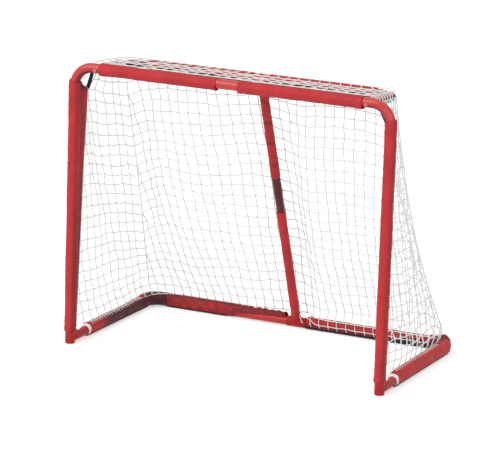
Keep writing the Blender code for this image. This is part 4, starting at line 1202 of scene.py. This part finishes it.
def knotted(name, node, place, span, column, columns, rows, seed, jitter=0.003, dip=0.003,
            border=1.1, ends=(1.3, 1.3), size=1):
    """A net of knotted twine: place(a, t) for a column's distance a and a row's share t."""
    rnd = random.Random(seed)
    mesh = Mesh()
    radius = TWINE_R * size
    sideways = place(span(0.5)[0], 0.5) - place(sum(span(0.5)) / 2, 0.5)
    grid = [[] for _ in range(rows + 1)]
    for k in columns:
        line, held = [], []
        for j in range(rows + 1):
            t = j / rows
            low, high = span(t)
            a = column(k, t)
            if low + 0.008 < a < high - 0.008:
                wobble = at(rnd.uniform(-1, 1), rnd.uniform(-0.6, 0.6), rnd.uniform(-1, 1)) * jitter
                p = place(a, t) + wobble * (0 if j in (0, rows) else 1)
                line.append(p)
                held.append(j)
                grid[j].append(p)
        if not held:
            continue
        for j, step in ((held[0], -1), (held[-1], 1)):
            if 0 <= j + step <= rows:
                side = 0 if column(k, j / rows) < sum(span(j / rows)) / 2 else 1
                t = crossing(lambda h: column(k, h) - span(h)[side], j / rows, (j + step) / rows)
                line.insert(0 if step < 0 else len(line), place(span(t)[side], t))
        mesh.cord(curve_through(line, 4), radius * rnd.uniform(0.94, 1.06))
        for n in range(1, len(line) - 1):
            along = (line[n + 1] - line[n - 1]).normalized()
            across = along.cross(sideways).cross(along).normalized()
            mesh.knot(line[n], along, across, radius * rnd.uniform(1.5, 1.9))
    borders = [[place(span(j / rows)[side], j / rows) for j in range(rows + 1)] for side in (0, 1)]
    for edge in borders:
        mesh.cord(curve_through(edge, 4), radius * border)
    for j, inner in enumerate(grid):
        line = [borders[0][j]] + inner + [borders[1][j]]
        end = j in (0, rows)
        mesh.cord(curve_through(line, 4, 0 if end else dip * rnd.uniform(0.6, 1.3)),
                  radius * (ends[j > 0] if end else rnd.uniform(0.94, 1.06)))
    mesh.piece(name, WHITE_TWINE, node)


def build_nets():
    knotted("back_mesh", "net_back", back_place, lambda t: (-back_span(t), back_span(t)), back_column,
            range(-18, 19), ROWS, 7, ends=(0.9, 1.2))
    knotted("top_mesh", "net_top", top_place, lambda v: (-1, 1), lambda k, v: k / 13,
            range(-12, 13), 5, 11, 0.0016, 0.0012, border=0.9, ends=(0.8, 0.9), size=0.96)
    for hand, side in HANDS:
        knotted("side_mesh_" + hand, "net_side_" + hand, lambda a, t: side_place(a, t, side),
                lambda t: (0, side_span(t, side)), lambda k, t: side_column(k, t, side),
                range(1, 14), ROWS, 13 + side, 0.0035, 0.004, ends=(0.4, 1.1), size=1.06)


# Cords that tie the nets down
def over_top(base, inner, half_width, bearing, off, top):
    """A place on a base sleeve's outside, at a bearing up from straight inwards."""
    c, m = squarish(radians(bearing))
    middle, half = (top + SLEEVE_FLOOR) / 2, (top - SLEEVE_FLOOR) / 2
    return base + inner * (half_width + off) * c + Z * (middle + (half + off) * m)


def on_rear(x, bearing, off):
    return over_top(at(x, REAR_Y, 0), -Y, 0.0225, bearing, off, LACED_TOP)


def build_lacing(rnd):
    """The cord along the right rear sleeve, its loose end at the strut and its loops."""
    mesh = Mesh()
    main = [at(0.0235, REAR_Y - 0.026, 0.092), at(0.026, REAR_Y - 0.03, 0.074),
            on_rear(0.046, 62, 0.004), on_rear(0.064, 40, 0.003), on_rear(0.084, 12, 0.003),
            on_rear(0.104, 2, 0.003)]
    for k in range(1, 13):
        main.append(on_rear(0.104 + LACE_STEP * k, rnd.uniform(-3, 5) + 2, 0.0028))
    mesh.cord(curve_through(main, 6), 0.0017, 8)
    stray = [at(0.03, REAR_Y - 0.03, 0.07), at(0.027, REAR_Y - 0.033, 0.055),
             on_rear(0.03, 18, 0.004), on_rear(0.037, 2, 0.003)]
    mesh.cord(curve_through(stray, 6), 0.0016, 8)
    for k in range(14):
        x = 0.066 + LACE_STEP * k + rnd.uniform(-0.002, 0.002)
        lean = rnd.uniform(-0.008, -0.003)
        rung = [on_rear(x + lean * share + shift, bearing, off) for share, shift, bearing, off in (
            (1, -0.004, 98, 0.0018), (1, 0, 78, 0.0024), (0.6, 0, 50, 0.0026),
            (0.2, 0, 22, 0.003), (0, 0.002, 2, 0.005), (0, 0.004, -14, 0.0028))]
        mesh.cord(curve_through(rung, 4), 0.0014, 8)
        mesh.knot(on_rear(x + 0.001, 3, 0.0042), X, Z, 0.003)
    mesh.piece("rear_lacing", WHITE_CORD, "lacing_cord")


def build_side_ties(rnd, hand, side):
    """Loops that tie a side net over its sleeve: lower down where the left sleeve is slack."""
    spots = ((101, 0.0006), (91, 0.0022), (80, 0.0024), (69, 0.0022), (60, 0.0006))
    if side < 0:
        spots = ((101, 0.0006), (88, 0.0022), (74, 0.0026), (60, 0.0024), (48, 0.0008))
    mesh = Mesh()
    for k in range(21):
        s = 0.016 + k * TIE_STEP + rnd.uniform(-0.0015, 0.0015)
        slack = 0.9 * eased((0.37 - s) / 0.07) if side < 0 else 0
        top = mix(SLEEVE_TOP, LACED_TOP, slack)
        loop = [over_top(at(side * POST_X, SIDE_SLEEVE_Y, 0) + Y * (s + 0.0012 * j), X * -side, 0.0235,
                         bearing, off, top) for j, (bearing, off) in enumerate(spots)]
        mesh.cord(curve_through(loop, 3), 0.0015)
    mesh.piece("side_ties_" + hand, WHITE_CORD)


def build_arm_cord(hand, side):
    """A cord wound round the shelf arm, which holds the edges of the top and side nets to it."""
    line = []
    steps = 190
    for k in range(steps + 1):
        y = mix(MOUTH_Y + 0.045, SHELF_Y - SHELF_BEND - 0.004, k / steps)
        turn = tau * 6.5 * k / steps
        r = SHELF_R + 0.0048 + 0.0008 * drift(k * 0.11, side, 2)
        line.append(at(side * (ARM_X + r * cos(turn)), y + 0.004 * sin(turn),
                       ARM_Z - ARM_SLOPE * (y - MOUTH_Y) + r * sin(turn)))
    Mesh().cord(line, 0.0024, 7).piece("arm_cord_" + hand, WHITE_CORD)


def build_crossbar_ties():
    mesh = Mesh()
    r = SLEEVE_R + 0.0034
    for side, first, last in ((-1, 0.06, 0.52), (1, 0.05, 0.52)):
        count = int((last - first) / 0.0205) * 6
        line = []
        for k in range(count + 1):
            turn = k / 6 * tau + side
            lift = radians(142 + 20 * sin(turn))
            line.append(at(side * (first + (last - first) * k / count) + 0.002 * sin(turn * 0.5),
                           MOUTH_Y - r * cos(lift), GOAL_HEIGHT + r * sin(lift)))
        mesh.cord(line, 0.0012)
    mesh.piece("crossbar_ties", WHITE_CORD)


def build_ties():
    rnd = random.Random(29)
    build_lacing(rnd)
    for hand, side in HANDS:
        build_side_ties(rnd, hand, side)
        build_arm_cord(hand, side)
    build_crossbar_ties()


# Studio, light and camera
def build_studio():
    far = 40
    ground = Mesh()
    ground.verts = [(-far, -far, 0), (far, -far, 0), (far, far, 0), (-far, far, 0)]
    ground.faces = [(0, 1, 2, 3)]
    floor = ground.object("floor")
    floor.location.z = -0.0003
    look = Finish("studio_floor", Roughness=0.9, Specular_IOR_Level=0.1)
    pale = look.tint(look.cloud(0.6, 2), (0.83, 0.83, 0.835), (0.85, 0.85, 0.85))
    look.put(look.shader, "Base Color", pale)
    glow = look.node("Emission", {"Color": (1, 1, 1, 1), "Strength": look.times(look.seen(), 0.44)})
    both = look.node("AddShader", {0: look.shader.outputs[0], 1: glow.outputs[0]})
    look.put(look.tree.nodes["Material Output"], "Surface", both.outputs[0])
    floor.data.materials.append(look.material)

    world = bpy.data.worlds.new("studio")
    bpy.context.scene.world = world
    sky = Nodes(world)
    background = sky.tree.nodes["Background"]
    sky.put(background, "Color", (1, 1, 1, 1))
    sky.put(background, "Strength", sky.span(sky.seen(), 0, 1, 0.4, 1))

    for name, source, spread, level in (("key", (-3, -4.4, 3.6), 44, 1.45),
                                        ("fill", (4.4, -4, 2.4), 50, 0.85),
                                        ("top", (0.3, 0.4, 6), 60, 0.55)):
        lamp = bpy.data.lights.new(name, "SUN")
        lamp.angle, lamp.energy = radians(spread), level
        obj = bpy.data.objects.new(name, lamp)
        obj.location = source
        obj.rotation_euler = Vector(source).to_track_quat("Z", "Y").to_euler()
        bpy.context.scene.collection.objects.link(obj)
    bpy.context.scene.view_settings.view_transform = "Standard"


def build_camera():
    """The photograph's view, solved from the goal's posts, crossbar and base."""
    azimuth, elevation, roll = radians(25.26), radians(13.89), radians(1.89)
    back = at(sin(azimuth) * cos(elevation), -cos(azimuth) * cos(elevation), sin(elevation))
    level = at(cos(azimuth), sin(azimuth), 0)
    rise = level.cross(-back)
    across = level * cos(roll) + rise * sin(roll)
    upward = -level * sin(roll) + rise * cos(roll)
    lens = bpy.data.cameras.new("camera")
    lens.sensor_width = 36
    lens.lens = 3079.4 / 500 * 36
    lens.clip_end = 200
    camera = bpy.data.objects.new("camera", lens)
    place = Matrix((across, upward, back)).transposed().to_4x4()
    place.translation = at(-0.0408, -0.036866, 0.4557) + back * 11.634
    camera.matrix_world = place
    bpy.context.scene.collection.objects.link(camera)
    bpy.context.scene.camera = camera


def dress_kept_nodes():
    """Finish the CAD nodes that stay in sight or inside, by their record slots."""
    for look, names in ((ZINC, ("crossbar_spigot", "shelf_insert_left", "shelf_insert_right")),
                        (RED_PAINT, ("foot_stub_left", "foot_stub_right", "strut_upper", "strut_lower"))):
        for name in names:
            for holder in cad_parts[name].material_slots:
                holder.material = look[0]


def for_both_sides(*builders):
    for build in builders:
        for hand, side in HANDS:
            build(hand, side)


build_camera()
build_studio()
dress_kept_nodes()
for_both_sides(build_frame)
build_joints()
for_both_sides(build_post_sleeve, build_bar_sleeves)
build_strut_sleeves()
for_both_sides(build_side_sleeve, build_rear_sleeve, build_tapes)
build_nets()
build_ties()
